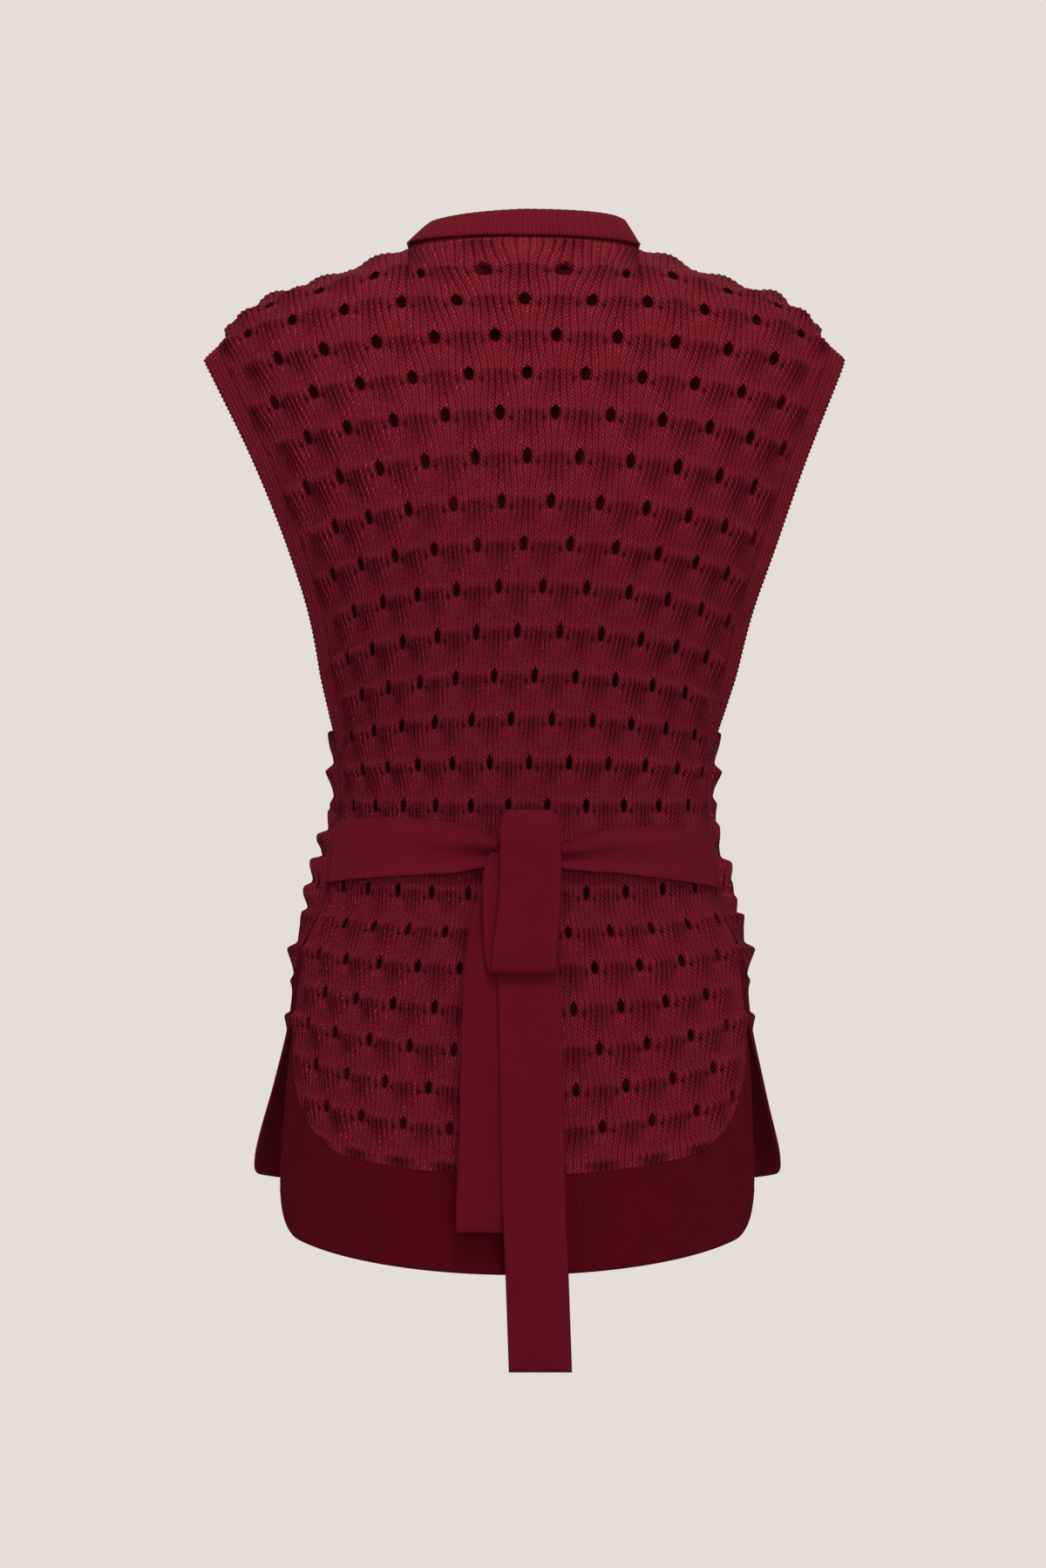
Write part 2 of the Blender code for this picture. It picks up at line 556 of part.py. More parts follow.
def neck_loop(stations):
    """Stations of the neck edge, round from the back, with the form's outward direction at each."""
    angle = np.linspace(0, 2 * math.pi, stations, endpoint=False)
    repeat = NECK_REPEATS * np.sin(angle)
    on_back = np.cos(angle) >= 0
    depth = ROW_TOP + (ROW_FRONT_NECK - ROW_TOP) * np.abs(np.cos(angle))
    edge = np.where(on_back[:, None], cloth_point(BACK, repeat, ROW_TOP), cloth_point(FRONT, repeat, depth))
    normal = np.where(on_back[:, None], cloth_normal(BACK, repeat, ROW_TOP), cloth_normal(FRONT, repeat, depth))
    return angle, edge, unit(smoothed(normal, 2))


def neckband(name):
    """The ribbed neckband: it stands up from the neck edge and leans inwards, with raised ribs outside."""
    stations = NECKBAND_RIBS * 2
    angle, edge, normal = neck_loop(stations)
    folded = np.degrees(np.abs((angle + math.pi) % (2 * math.pi) - math.pi))
    lean_in, = read_table(NECK_LEAN, folded)
    tangent = unit(np.roll(edge, -1, axis=0) - np.roll(edge, 1, axis=0))
    centre = np.array([0.0, 0.006, 0.0])
    inward = (centre - edge) * np.array([1.0, 1.0, 0.0])
    rise = unit(unit(inward) * lean_in[:, None] + np.array([NECK_SWAY, 0.0, 1.0]))
    rise = unit(rise - (rise * tangent).sum(axis=1, keepdims=True) * tangent)
    out = unit(np.cross(tangent, rise))
    out = out * np.sign((out * inward).sum(axis=1, keepdims=True)) * -1
    share = np.array([0.0, 1.0])[None, :, None]
    inner = edge[:, None] + (3 * SEAM_GAP + share * NECKBAND_HEIGHT) * rise[:, None]
    ribbed = np.where(np.arange(stations) % 2 == 0, RIB_DEPTH, 0.0)[:, None, None]
    thick = np.where(share == 0, normal[:, None] * WALL, out[:, None] * (WALL + ribbed))
    return outward_object(ring_wall(name, inner, inner + thick))


# ---- belt ----------------------------------------------------------------------------------------------------------------
def belt_strap(name, rows):
    """A strap over the back panel, from the side seam to the knot, gathered in soft pleats at the knot."""
    stations, across = 14, 7
    table = np.array(rows)
    repeat = np.linspace(table[0, 0], table[-1, 0], stations)
    upper, lower, pleat = read_table(rows, repeat)
    share = np.linspace(0, 1, across)
    row = upper[:, None] + (lower - upper)[:, None] * share
    repeats = np.repeat(repeat[:, None], across, axis=1)
    wave = pleat[:, None] * (1 - np.cos(2 * math.pi * STRAP_PLEATS * share))
    rise = (BELT_CLEAR + wave)[..., None]
    normal = cloth_normal(BACK, repeats, row)
    inner = cloth_point(BACK, repeats, row) + rise * normal
    return outward_object(strip_wall(name, inner, inner + BELT_CLOTH * normal))


def belt_strip(name, rows, stations):
    """A strip of belt along a path, level across its width, with its thickness square to the path."""
    table = np.array(rows)
    travelled = np.concatenate([[0], np.cumsum(np.linalg.norm(np.diff(table[:, :3], axis=0), axis=1))])
    place = np.linspace(0, travelled[-1], stations)
    x, y, z, half = read_table(np.column_stack([travelled, table]), place)
    path = np.stack([x, y, z], axis=-1)
    share = np.linspace(-1, 1, 3)
    inner = path[:, None] + half[:, None, None] * share[None, :, None] * np.array([1.0, 0.0, 0.0])
    along = np.gradient(path, axis=0)
    normal = unit(np.cross(along, np.array([1.0, 0.0, 0.0])))
    return outward_object(strip_wall(name, inner, inner + BELT_CLOTH * normal[:, None]))


def knot(name):
    """The knot under the bow: a soft flattened ball."""
    work = bmesh.new()
    bmesh.ops.create_uvsphere(work, u_segments=14, v_segments=8, radius=0.5)
    mesh = bpy.data.meshes.new(name)
    for vertex in work.verts:
        vertex.co = Vector(KNOT_CENTRE) + Vector([c * s for c, s in zip(vertex.co, KNOT_SIZE)])
    work.to_mesh(mesh)
    work.free()
    return bpy.data.objects.new(name, mesh)


# ---- the whole -------------------------------------------------------------------------------------------------------------
def material(name, colour, roughness):
    made = bpy.data.materials.new(name)
    made.use_nodes = True
    shader = made.node_tree.nodes["Principled BSDF"]
    shader.inputs["Base Color"].default_value = colour
    shader.inputs["Roughness"].default_value = roughness
    shader.inputs["Metallic"].default_value = 0.0
    return made


def build():
    for old in list(bpy.data.objects):
        bpy.data.objects.remove(old)
    back, back_holes = openwork_panel("back_panel", BACK)
    front, front_holes = openwork_panel("front_panel", FRONT)
    print("eyelets cut through:", back_holes, front_holes)
    pieces = [
        (back, KNIT_COLOUR),
        (front, KNIT_COLOUR),
        (hem_band("back_hem_band", BACK), RIB_COLOUR),
        (hem_band("front_hem_band", FRONT), RIB_COLOUR),
        (neckband("neckband"), RIB_COLOUR),
        (armhole_band("armhole_band_left", -1), RIB_COLOUR),
        (armhole_band("armhole_band_right", 1), RIB_COLOUR),
        (belt_strap("belt_strap_left", LEFT_STRAP), BELT_COLOUR),
        (belt_strap("belt_strap_right", RIGHT_STRAP), BELT_COLOUR),
        (knot("belt_knot"), BELT_COLOUR),
        (belt_strip("belt_bow", BOW_FRONT_LAYER + BOW_FOLD + BOW_BACK_LAYER, 30), BELT_COLOUR),
        (belt_strip("belt_tail_short", SHORT_TAIL, 14), BELT_COLOUR),
        (belt_strip("belt_tail_long", LONG_TAIL, 16), BELT_COLOUR),
    ]
    vest = bpy.data.collections.new("openwork_vest")
    bpy.context.scene.collection.children.link(vest)
    for obj, colour in pieces:
        obj.data.materials.append(material(obj.name + "_cloth", colour, 0.85))
        vest.objects.link(obj)


build()
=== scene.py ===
"""Looks of the sleeveless openwork knit vest, tied with its own belt at the back.

Metres, +Z up; the back of the vest faces -Y. Every surface is worked out by whole-array formulas on the
form the solids have. A point of a cloth is named by its REPEAT across the knit, 0 at the middle, and its
ROW down the knit, both in units of the openwork pattern. A repeat is eight wales and a row is nine courses.
"""
import math

import bpy
import numpy as np
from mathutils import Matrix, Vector


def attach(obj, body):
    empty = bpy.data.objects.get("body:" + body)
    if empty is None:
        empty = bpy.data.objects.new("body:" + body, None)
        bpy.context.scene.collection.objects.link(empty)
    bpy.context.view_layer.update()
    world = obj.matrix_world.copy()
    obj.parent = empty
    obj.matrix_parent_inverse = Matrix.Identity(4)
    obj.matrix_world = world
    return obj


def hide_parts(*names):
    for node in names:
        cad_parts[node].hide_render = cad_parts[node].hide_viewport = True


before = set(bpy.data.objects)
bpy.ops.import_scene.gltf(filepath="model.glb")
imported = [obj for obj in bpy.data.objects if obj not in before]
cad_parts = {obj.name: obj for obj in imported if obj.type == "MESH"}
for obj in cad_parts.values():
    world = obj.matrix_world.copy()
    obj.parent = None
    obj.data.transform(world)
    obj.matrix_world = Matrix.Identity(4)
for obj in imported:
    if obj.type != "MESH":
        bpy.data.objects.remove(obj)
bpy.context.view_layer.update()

BACK, FRONT = -1, 1

# ---- the openwork pattern ----------------------------------------------------------------------------
WALES_PER_REPEAT = 8
WALE_DRIFT = 0.26            # wales crowd towards each peak and spread round each eyelet
COURSES_PER_ROW = 9
COLUMNS_PER_REPEAT = 32      # of the mesh: four to a wale
LINES_PER_ROW = 16           # of the mesh
SMALLEST_FACE = 2e-9         # twice the area in square metres of the smallest face that is kept
ROW_TO_REPEAT = 0.93         # the height of a row in widths of a repeat
HALF_REPEATS = 5.8           # repeats from the middle of the back to its side edge
PATTERN_LEAN = -0.38         # the middle of the pattern drifts this far to one side on its way down
CLOTH_STAND = 0.0019         # the knit's plain face over the inner face of the form
EYELET_HALF_WIDTH = (0.094, 0.074)   # in repeats, over the shoulder blades and from the waist down
EYELET_HALF_HEIGHT = 0.185   # in rows
EYELET_LIP = 0.0015          # the stitches round an eyelet curl in by this much
BLIND_DEPTH = 4              # and those of a blind eyelet by this many times more
GAP_ASIDE, GAP_BELOW = 0.19, 0.14    # small gaps between stitches, either side of an eyelet and below it
GAP_RADIUS = 0.052           # in repeats
GAP_DEPTH = 0.0018
PEAK_TALL = 0.0064           # how far the knit's peaks stand out where it hangs loose
PEAK_FLAT = 0.0034           # and where it is stretched flat, between the shoulder blades
PEAK_RISE_ROWS = 0.26        # rows over which the face above a peak steps outwards
LOOSE_ROW, LOOSE_ROWS = 13, 5        # the knit hangs loose from this row down, over this many rows
BELT_REACH, BELT_PRESS = 1.6, 0.85   # rows from the belt's middle where it presses the peaks, and how much
WALE_DEPTH = 0.0009          # the rounded columns of stitches stand this far out of their grooves
FAN_DEPTH = 0.0016           # and this much more where they fan out below a peak
EDGE_ROOM, TOP_ROOM, SLIT_ROOM = 0.35, 0.40, 0.12    # the peaks die out this near to a cloth's edges

# painted shade: how much the shade in each crevice darkens the yarn's colour, in gaps, lips, pits, fans and
# grooves
GAP_SHADE, LIP_SHADE, BLIND_SHADE = 0.85, 0.40, 1.20
FAN_SHADE, GROOVE_SHADE, FAN_GROOVE_SHADE = 0.16, 0.38, 0.70

# knobs where the belt bunches the front's sides; columns: hand, row, reach, height
KNOB_HALF_WIDTH, KNOB_ROWS, KNOB_RISE = 0.10, 0.62, 0.35
WAIST_KNOBS = (
    (-1, 14.20, 0.86, 0.0035),
    (-1, 14.85, 0.86, 0.0075),
    (-1, 15.50, 0.85, 0.0080),
    (-1, 16.15, 0.84, 0.0065),
    (-1, 16.85, 0.84, 0.0035),
    (1, 14.60, 0.86, 0.0030),
    (1, 15.55, 0.85, 0.0062),
    (1, 16.40, 0.84, 0.0030),
)

# ---- rows where pieces end ---------------------------------------------------------------------------
ROW_TOP = -0.40
ROW_YOKE = 3.0
ROW_UNDERARM = 12.4
ROW_SLIT = 16.3
ROW_FRONT_NECK = 1.50
ROW_CHEST, ROW_HIPS = 8.0, 16.0      # where the front is cut into three pieces
BELT_ROW = 15.05
ROW_BACK_BAND, ROW_BACK_HEM = 23.2, 25.5
ROW_FRONT_BAND, ROW_FRONT_HEM = 22.1, 24.4
NECK_REPEATS = 1.9
BORDER_REPEATS = 0.72        # width of the bands' side borders along the slits
# repeats from the slit's edge to the knit's edge, and the row where the knit begins to draw in from it
KNIT_INSET = {BACK: (0.10, 16.3), FRONT: (0.72, 17.6)}
INSET_ROWS = 2.0             # rows over which it draws in
OUTER_CORNER = (1.05, 1.15)  # repeats and rows that a hem's rounded corner takes up
KNIT_CORNER = {BACK: (2.2, 3.2), FRONT: (0.75, 0.80)}    # and the same of the knit above it

# ---- the worn form, as the solids have it ------------------------------------------------------------
# columns: row, height, back, front, edge_x, edge_y, side_drop, back_turn, front_turn, spread, sideways
FORM = (
    (3.0, -0.067, 0.088, 0.078, 0.1935, 0.036, 0.019, 50, 50, 0.15, 0.0020),
    (5.0, -0.118, 0.101, 0.098, 0.1708, 0.046, 0.021, 50, 50, 0.14, 0.0042),
    (7.0, -0.175, 0.106, 0.112, 0.1494, 0.048, 0.023, 52, 52, 0.12, 0.0056),
    (9.0, -0.229, 0.100, 0.116, 0.1333, 0.042, 0.023, 57, 60, 0.09, 0.0046),
    (11.0, -0.286, 0.091, 0.109, 0.1245, 0.031, 0.018, 63, 80, 0.05, 0.0025),
    (12.4, -0.325, 0.087, 0.103, 0.1215, 0.020, 0.011, 68, 104, 0.03, 0.0010),
    (14.0, -0.370, 0.083, 0.097, 0.1195, 0.018, 0.000, 71, 107, 0.00, 0.0000),
    (15.0, -0.398, 0.083, 0.097, 0.1235, 0.020, -0.003, 71, 107, 0.00, -0.0005),
    (16.3, -0.435, 0.087, 0.101, 0.1270, 0.025, -0.006, 70, 114, 0.00, -0.0010),
    (18.0, -0.475, 0.095, 0.106, 0.1420, 0.029, -0.010, 72, 106, 0.03, -0.0015),
    (20.0, -0.527, 0.104, 0.110, 0.1475, 0.032, -0.019, 73, 100, 0.05, -0.0020),
    (22.0, -0.577, 0.111, 0.114, 0.1515, 0.034, -0.024, 74, 97, 0.06, -0.0027),
    (23.2, -0.605, 0.114, 0.116, 0.1530, 0.035, -0.025, 75, 96, 0.06, -0.0034),
    (25.5, -0.668, 0.118, 0.119, 0.1568, 0.036, -0.023, 75, 95, 0.06, -0.0040),
)
# columns: row, outward, forward, repeats
FRONT_EDGE = (
    (3.0, -0.003, 0.072, 5.8),
    (5.0, -0.006, 0.094, 5.8),
    (7.0, -0.004, 0.100, 5.8),
    (9.0, -0.002, 0.088, 5.9),
    (11.0, 0.000, 0.050, 6.4),
    (12.4, 0.000, 0.000, 7.0),
    (16.3, 0.000, 0.000, 7.0),
    (18.0, 0.001, 0.016, 7.0),
    (20.0, 0.003, 0.028, 7.0),
    (22.1, 0.010, 0.034, 7.0),
    (24.4, 0.0215, 0.038, 7.0),
)
# columns: row, back_cut, front_cut
ARMHOLE_CURVE = (
    (10.20, 0.00, 0.00),
    (10.80, 0.10, 0.14),
    (11.30, 0.22, 0.36),
    (11.70, 0.31, 0.52),
    (12.00, 0.34, 0.54),
    (12.20, 0.29, 0.44),
    (12.33, 0.17, 0.27),
    (12.40, 0.00, 0.00),
)
# columns: reach, across, height
SHOULDER = (
    (0.00, 0.0740, 0.0000),
    (0.22, 0.1050, -0.0130),
    (0.47, 0.1400, -0.0255),
    (0.70, 0.1690, -0.0360),
    (0.86, 0.1860, -0.0500),
    (1.00, 0.1958, -0.0660),
)
NECK_HALF_WIDTH = 0.0740
NECK_BACK_DEPTH = 0.0580
ROLL_LENGTH = 0.105
NECK_SLOPE = (0.060, 0.045)

# ---- bands -------------------------------------------------------------------------------------------
BAND_STAND = 0.0012          # the hem bands' face, just under the panel's edge that is linked over them
BAND_CLOTH = 0.0013
BAND_TUCK = 0.0020           # the band lies this much deeper where the knit covers it
BAND_OVERLAP = 0.22          # repeats or rows by which a band reaches under the knit
RIBS_PER_REPEAT = 10
RIB_COURSES_PER_ROW = 20
STEPS_PER_HEM_RIB = 4        # of the mesh
RIB_DEPTH = 0.00035
ARMHOLE_BAND = 0.0150
ARMHOLE_STATIONS = 17        # places on a cloth's edge between the shoulder and ARMHOLE_CURVE
ARMHOLE_COURSE = 0.0031      # length of a stitch along the band
STEPS_PER_COURSE = 4         # of the mesh
ARMHOLE_WALES = 5
ARMHOLE_STAND, ARMHOLE_GROOVE, ARMHOLE_SCALLOP = 0.0016, 0.0007, 0.0005
NECKBAND_HEIGHT = 0.0185
NECKBAND_RIBS = 76
NECKBAND_RIB_DEPTH = 0.0011
NECKBAND_CLOTH = 0.0022
NECKBAND_CUSHION = 0.0006    # the middle of the neckband's height swells by this much
STEPS_PER_RIB = 10           # of the mesh
LINKS_PER_RIB = 3            # stitches that link the neckband to the panels
LINK_RADIUS = 0.0015
LINK_RISE, LINK_STAND = 0.0002, 0.0014
NECK_MIDDLE = (0.0, 0.006, 0.0)      # the neckband leans towards it
NECK_SWAY = 0.27
# columns: angle round the neck, inward lean
NECK_LEAN = ((0, 0.45), (50, 0.75), (90, 1.50), (180, 0.70))

# ---- belt --------------------------------------------------------------------------------------------
BELT_HALF_WIDTH = 0.020
BELT_CLOTH = 0.0014
BELT_CLEAR = 0.0040
# columns: repeat, upper, lower, pleat
LEFT_STRAP = (
    (-5.55, 14.47, 15.97, 0.0000),
    (-4.80, 14.38, 15.86, 0.0000),
    (-3.42, 14.31, 15.70, 0.0002),
    (-2.45, 14.34, 15.62, 0.0006),
    (-1.70, 14.43, 15.57, 0.0012),
    (-1.14, 14.56, 15.47, 0.0018),
    (-0.62, 14.74, 15.40, 0.0022),
)
RIGHT_STRAP = (
    (0.98, 14.88, 15.46, 0.0020),
    (1.50, 14.74, 15.52, 0.0018),
    (2.50, 14.52, 15.60, 0.0012),
    (3.60, 14.52, 15.75, 0.0006),
    (4.80, 14.66, 15.95, 0.0003),
    (5.70, 14.72, 16.12, 0.0000),
)
STRAP_PLEATS = 1.5
# columns: across, depth, height, half_width
BOW = (
    (0.0030, -0.0925, -0.3835, 0.0130),
    (0.0035, -0.0985, -0.3745, 0.0140),
    (0.0040, -0.1055, -0.3738, 0.0150),
    (0.0048, -0.1090, -0.3785, 0.0180),
    (0.0050, -0.1112, -0.3870, 0.0195),
    (0.0050, -0.1135, -0.4100, 0.0195),
    (0.0035, -0.1170, -0.4400, 0.0200),
    (0.0010, -0.1208, -0.4650, 0.0205),
    (0.0005, -0.1208, -0.4735, 0.0205),
    (-0.0010, -0.1186, -0.4752, 0.0205),
    (-0.0030, -0.1168, -0.4695, 0.0205),
    (-0.0055, -0.1142, -0.4400, 0.0200),
    (-0.0065, -0.1105, -0.4150, 0.0190),
    (-0.0060, -0.1078, -0.4000, 0.0150),
)
SHORT_TAIL = (
    (-0.0060, -0.1010, -0.4080, 0.0120),
    (-0.0110, -0.1030, -0.4250, 0.0170),
    (-0.0150, -0.1075, -0.4500, 0.0195),
    (-0.0180, -0.1135, -0.4900, 0.0200),
    (-0.0195, -0.1185, -0.5300, 0.0200),
    (-0.0205, -0.1240, -0.5800, 0.0200),
    (-0.0225, -0.1270, -0.6300, 0.0200),
    (-0.0225, -0.1275, -0.6400, 0.0195),
)
LONG_TAIL = (
    (0.0020, -0.1048, -0.4080, 0.0110),
    (0.0020, -0.1062, -0.4200, 0.0150),
    (0.0030, -0.1092, -0.4500, 0.0190),
    (0.0035, -0.1140, -0.4800, 0.0198),
    (0.0050, -0.1200, -0.5200, 0.0200),
    (0.0058, -0.1262, -0.5700, 0.0200),
    (0.0070, -0.1305, -0.6200, 0.0200),
    (0.0090, -0.1320, -0.6700, 0.0200),
    (0.0110, -0.1320, -0.7275, 0.0200),
)
JERSEY_STITCH = 0.0011       # size of a stitch of the belt's fine jersey

# ---- the photograph's camera -------------------------------------------------------------------------
PHOTO_DISTANCE = 2.40        # camera to the back of the vest
PHOTO_HEIGHT = 0.9995        # height that the photograph takes in at that distance
BACK_DEPTH = 0.11
EYE_LEVEL = -0.356
SIGHT_GAP = (0.0036, 0.0052) # slopes across and up by which two eyelets have to differ to be seen apart

# ---- colours, linear ---------------------------------------------------------------------------------
KNIT_COLOUR = (0.265, 0.0098, 0.0225)
RIB_COLOUR = (0.105, 0.0021, 0.0054)
BELT_COLOUR = (0.222, 0.0044, 0.0146)
NECK_COLOUR = (0.150, 0.0041, 0.0113)
CREVICE_SHADE_SHARE = (0.10, 0.03, 0.05)    # painted shade in the deepest crevices, as shares of a yarn's colour
CROWN_HIGHLIGHT_SHARE = (2.30, 4.20, 3.40)  # painted highlights on the crowns of its stitches
SHEEN_TINT, GLOSS_TINT = (0.95, 0.20, 0.28, 1), (0.90, 0.20, 0.28, 1)
BACKDROP_COLOUR = (0.7835, 0.7305, 0.6867)

# ---- yarn --------------------------------------------------------------------------------------------
LEG_RISE = 3.0               # courses that a stitch's leg climbs over a whole wale
WANDER_SCALE, FIBRE_SCALE, MOTTLE_SCALE = 420.0, 2600.0, 60.0    # of the noises, per metre
BUMP_DISTANCE = 0.0012
FIBRE_BUMP = 0.25            # the fibre's bump, as a share of a stitch's
YARN_ROUGHNESS, YARN_IOR = 0.62, 1.2


# ---- tables ------------------------------------------------------------------------------------------
def read_table(rows, place):
    """Columns of a table at the given places in its first column, by monotone cubic interpolation."""
    table = np.array(rows, float)
    knots = table[:, 0]
    place = np.clip(np.asarray(place, float), knots[0], knots[-1])
    step = np.diff(knots)
    index = np.clip(np.searchsorted(knots, place, side="right") - 1, 0, len(step) - 1)
    t = (place - knots[index]) / step[index]
    results = []
    for values in table[:, 1:].T:
        rise = np.diff(values) / step
        slope = np.zeros(len(knots))
        slope[0], slope[-1] = rise[0], rise[-1]
        same_way = rise[:-1] * rise[1:] > 0
        first = 2 * step[1:] + step[:-1]
        second = step[1:] + 2 * step[:-1]
        safe = np.where(same_way, rise[:-1], 1.0), np.where(same_way, rise[1:], 1.0)
        slope[1:-1] = np.where(same_way, (first + second) / (first / safe[0] + second / safe[1]), 0.0)
        results.append(values[index] * (1 + 2 * t) * (1 - t) ** 2
                       + slope[index] * step[index] * t * (1 - t) ** 2
                       + values[index + 1] * t * t * (3 - 2 * t)
                       + slope[index + 1] * step[index] * t * t * (t - 1))
    return results


def smooth_step(value):
    """0 below 0, 1 above 1, and a smooth ramp between."""
    value = np.clip(value, 0.0, 1.0)
    return value * value * (3 - 2 * value)


def unit(vectors):
    """Vectors at length 1."""
    return vectors / np.maximum(np.linalg.norm(vectors, axis=-1, keepdims=True), 1e-12)


# ---- the worn form -----------------------------------------------------------------------------------
def edge_repeat(side, row):
    """Repeats between the middle of a cloth and its side edge."""
    return read_table(FRONT_EDGE, row)[2] if side == FRONT else np.full(np.shape(row), HALF_REPEATS)


def section_point(side, repeat, row):
    """A point on a section of the body form.

    The section is an arc x = a sin(t), y = middle - b (1 - cos(t)), and the angle t is found by Newton's
    steps so that equal repeats take equal lengths of the arc, but for the spread towards the middle.
    """
    height, back, front, edge_x, edge_y, drop, back_turn, front_turn, spread, sideways = \
        read_table(FORM, row)
    outward, forward, _ = read_table(FRONT_EDGE, row)
    middle, turn = (back, np.radians(back_turn)) if side == BACK else (front, np.radians(front_turn))
    if side == FRONT:
        edge_x, edge_y = edge_x + outward, forward - edge_y
    across = edge_x / np.sin(turn)
    along = (middle - edge_y) / (1 - np.cos(turn))
    reach = np.abs(repeat) / edge_repeat(side, row)
    share = reach * (1 + spread) - spread * reach ** 3
    mean, swing = (across + along) / 2, (across - along) / 2
    wanted = share * (mean * turn + swing / 2 * np.sin(2 * turn))
    angle = share * turn
    for _ in range(3):
        length = mean * angle + swing / 2 * np.sin(2 * angle)
        angle = angle - (length - wanted) / (mean + swing * np.cos(2 * angle))
    return np.stack([sideways + np.sign(repeat) * across * np.sin(angle),
                     side * (middle - along * (1 - np.cos(angle))),
                     height - drop * reach ** 2], axis=-1)


def crest_point(side, repeat):
    """The top edge of a cloth, along the neck and the shoulder's crest, and the way the cloth leaves it."""
    size = np.abs(repeat)
    reach = np.clip((size - NECK_REPEATS) / (HALF_REPEATS - NECK_REPEATS), 0.0, 1.0)
    across, height = read_table(SHOULDER, reach)
    quarter = np.clip(size / NECK_REPEATS, 0.0, 1.0) * math.pi / 2
    on_neck = size < NECK_REPEATS
    if side == BACK:
        neck_x, neck_y = NECK_HALF_WIDTH * np.sin(quarter), -NECK_BACK_DEPTH * np.cos(quarter)
    else:
        neck_x, neck_y = NECK_HALF_WIDTH * size / NECK_REPEATS, 0.020 * np.cos(quarter)
    blend = smooth_step((size - 0.75 * NECK_REPEATS) / (0.5 * NECK_REPEATS))
    slope_back = NECK_SLOPE[0] + (ROLL_LENGTH - NECK_SLOPE[0]) * blend
    slope_down = NECK_SLOPE[1] * (1 - blend) + 0.020 * smooth_step((size - 4.4) / 1.4)
    point = np.stack([np.sign(repeat) * np.where(on_neck, neck_x, across),
                      np.where(on_neck, neck_y, 0.0),
                      np.where(on_neck, 0.0, height)], axis=-1)
    leaving = np.stack([np.zeros_like(size), side * slope_back, -slope_down], axis=-1)
    return point, leaving


def cloth_point(side, repeat, row):
    """The form's surface: sections below the yoke, and above it a cubic roll from the crest to the yoke."""
    repeat, row = np.broadcast_arrays(np.asarray(repeat, float), np.asarray(row, float))
    lower = section_point(side, repeat, np.maximum(row, ROW_YOKE))
    yoke = section_point(side, repeat, np.full(row.shape, ROW_YOKE))
    nudge = 0.1
    falling = (section_point(side, repeat, np.full(row.shape, ROW_YOKE + nudge)) - yoke) / nudge
    crest, leaving = crest_point(side, repeat)
    t = np.clip((row - ROW_TOP) / (ROW_YOKE - ROW_TOP), 0.0, 1.0)[..., None]
    rolled = (crest * (1 + 2 * t) * (1 - t) ** 2 + leaving * t * (1 - t) ** 2
              + yoke * t * t * (3 - 2 * t) + falling * (ROW_YOKE - ROW_TOP) * t * t * (t - 1))
    return np.where((row < ROW_YOKE)[..., None], rolled, lower)


def cloth_normal(side, repeat, row):
    """The outward direction of the form, square to its two directions of growth."""
    small = 0.02
    limit = edge_repeat(side, row)
    left = np.maximum(np.asarray(repeat, float) - small, -limit)
    right = np.minimum(np.asarray(repeat, float) + small, limit)
    above = np.maximum(np.asarray(row, float) - small, ROW_TOP)
    below = np.minimum(np.asarray(row, float) + small, ROW_BACK_HEM)
    across = cloth_point(side, right, row) - cloth_point(side, left, row)
    down = cloth_point(side, repeat, below) - cloth_point(side, repeat, above)
    return side * unit(np.cross(across, down))


def raised_point(side, repeat, row, height):
    """A point at a height over the form's surface."""
    return cloth_point(side, repeat, row) + height[..., None] * cloth_normal(side, repeat, row)


# ---- the openwork pattern ----------------------------------------------------------------------------
def lean(repeat, row):
    """How far the pattern has drifted sideways at a row, dying out towards the side edges."""
    inward = np.clip(1 - (repeat / HALF_REPEATS) ** 2, 0, 1)
    return PATTERN_LEAN * smooth_step((row - 3) / 11) * inward


def nearest_column(side, pattern, row, offset):
    """The eyelet column nearest to a place on a row, or with offset 1 the peak column nearest to it."""
    shift = 0.5 * ((row + offset + (side == FRONT)) % 2)
    return np.round(pattern - shift) + shift


def peak_height(pattern, row):
    """How far the peaks stand out: less where the cloth is stretched flat, almost none under the belt."""
    hanging = smooth_step((row - LOOSE_ROW) / LOOSE_ROWS)
    loose = np.maximum(np.clip((pattern / HALF_REPEATS) ** 2, 0, 1), hanging)
    under_belt = smooth_step(BELT_REACH - np.abs(row - BELT_ROW))
    return (PEAK_FLAT + (PEAK_TALL - PEAK_FLAT) * loose) * (1 - BELT_PRESS * under_belt)


def unevenness(side, column, line):
    """A factor from 0.75 to 1.2 that is a peak's own: no two peaks of a knit are alike."""
    return 0.75 + 0.45 * (np.sin(column * 12.99 + line * 78.23 + side) * 437.58 % 1)


def openwork_relief(side, pattern, row):
    """Height of the openwork: each peak steps out over PEAK_RISE_ROWS, then falls back for a whole row.

    A peak's height is cos(pi x)^2 across, x repeats from its column, and narrows as it falls. The fan is 1 on
    a peak and dies out below it: there the knit is dense, between deep grooves, and the yarn carries painted
    shade.
    """
    total, fan = np.zeros_like(row), np.zeros_like(row)
    upper = np.floor(row + PEAK_RISE_ROWS)
    for line in (upper, upper - 1):
        across = pattern - nearest_column(side, pattern, line, 1)
        down = row - line
        rising = smooth_step(1 + down / PEAK_RISE_ROWS)
        falling = 0.5 + 0.5 * np.cos(np.pi * np.clip(down, 0, 1) ** 0.65)
        width = np.clip(1 - 0.45 * np.clip(down, 0, 1), 0.3, 1)
        shape = np.cos(np.pi * np.clip(across / width, -0.5, 0.5)) ** 2
        height = peak_height(pattern, line) * unevenness(side, pattern - across, line)
        total = total + height * shape * np.where(down < 0, rising, falling)
        fan = fan + shape * np.where(down < 0, smooth_step(1 + down / 0.12), np.clip(1 - down / 0.8, 0, 1))
    return total, fan


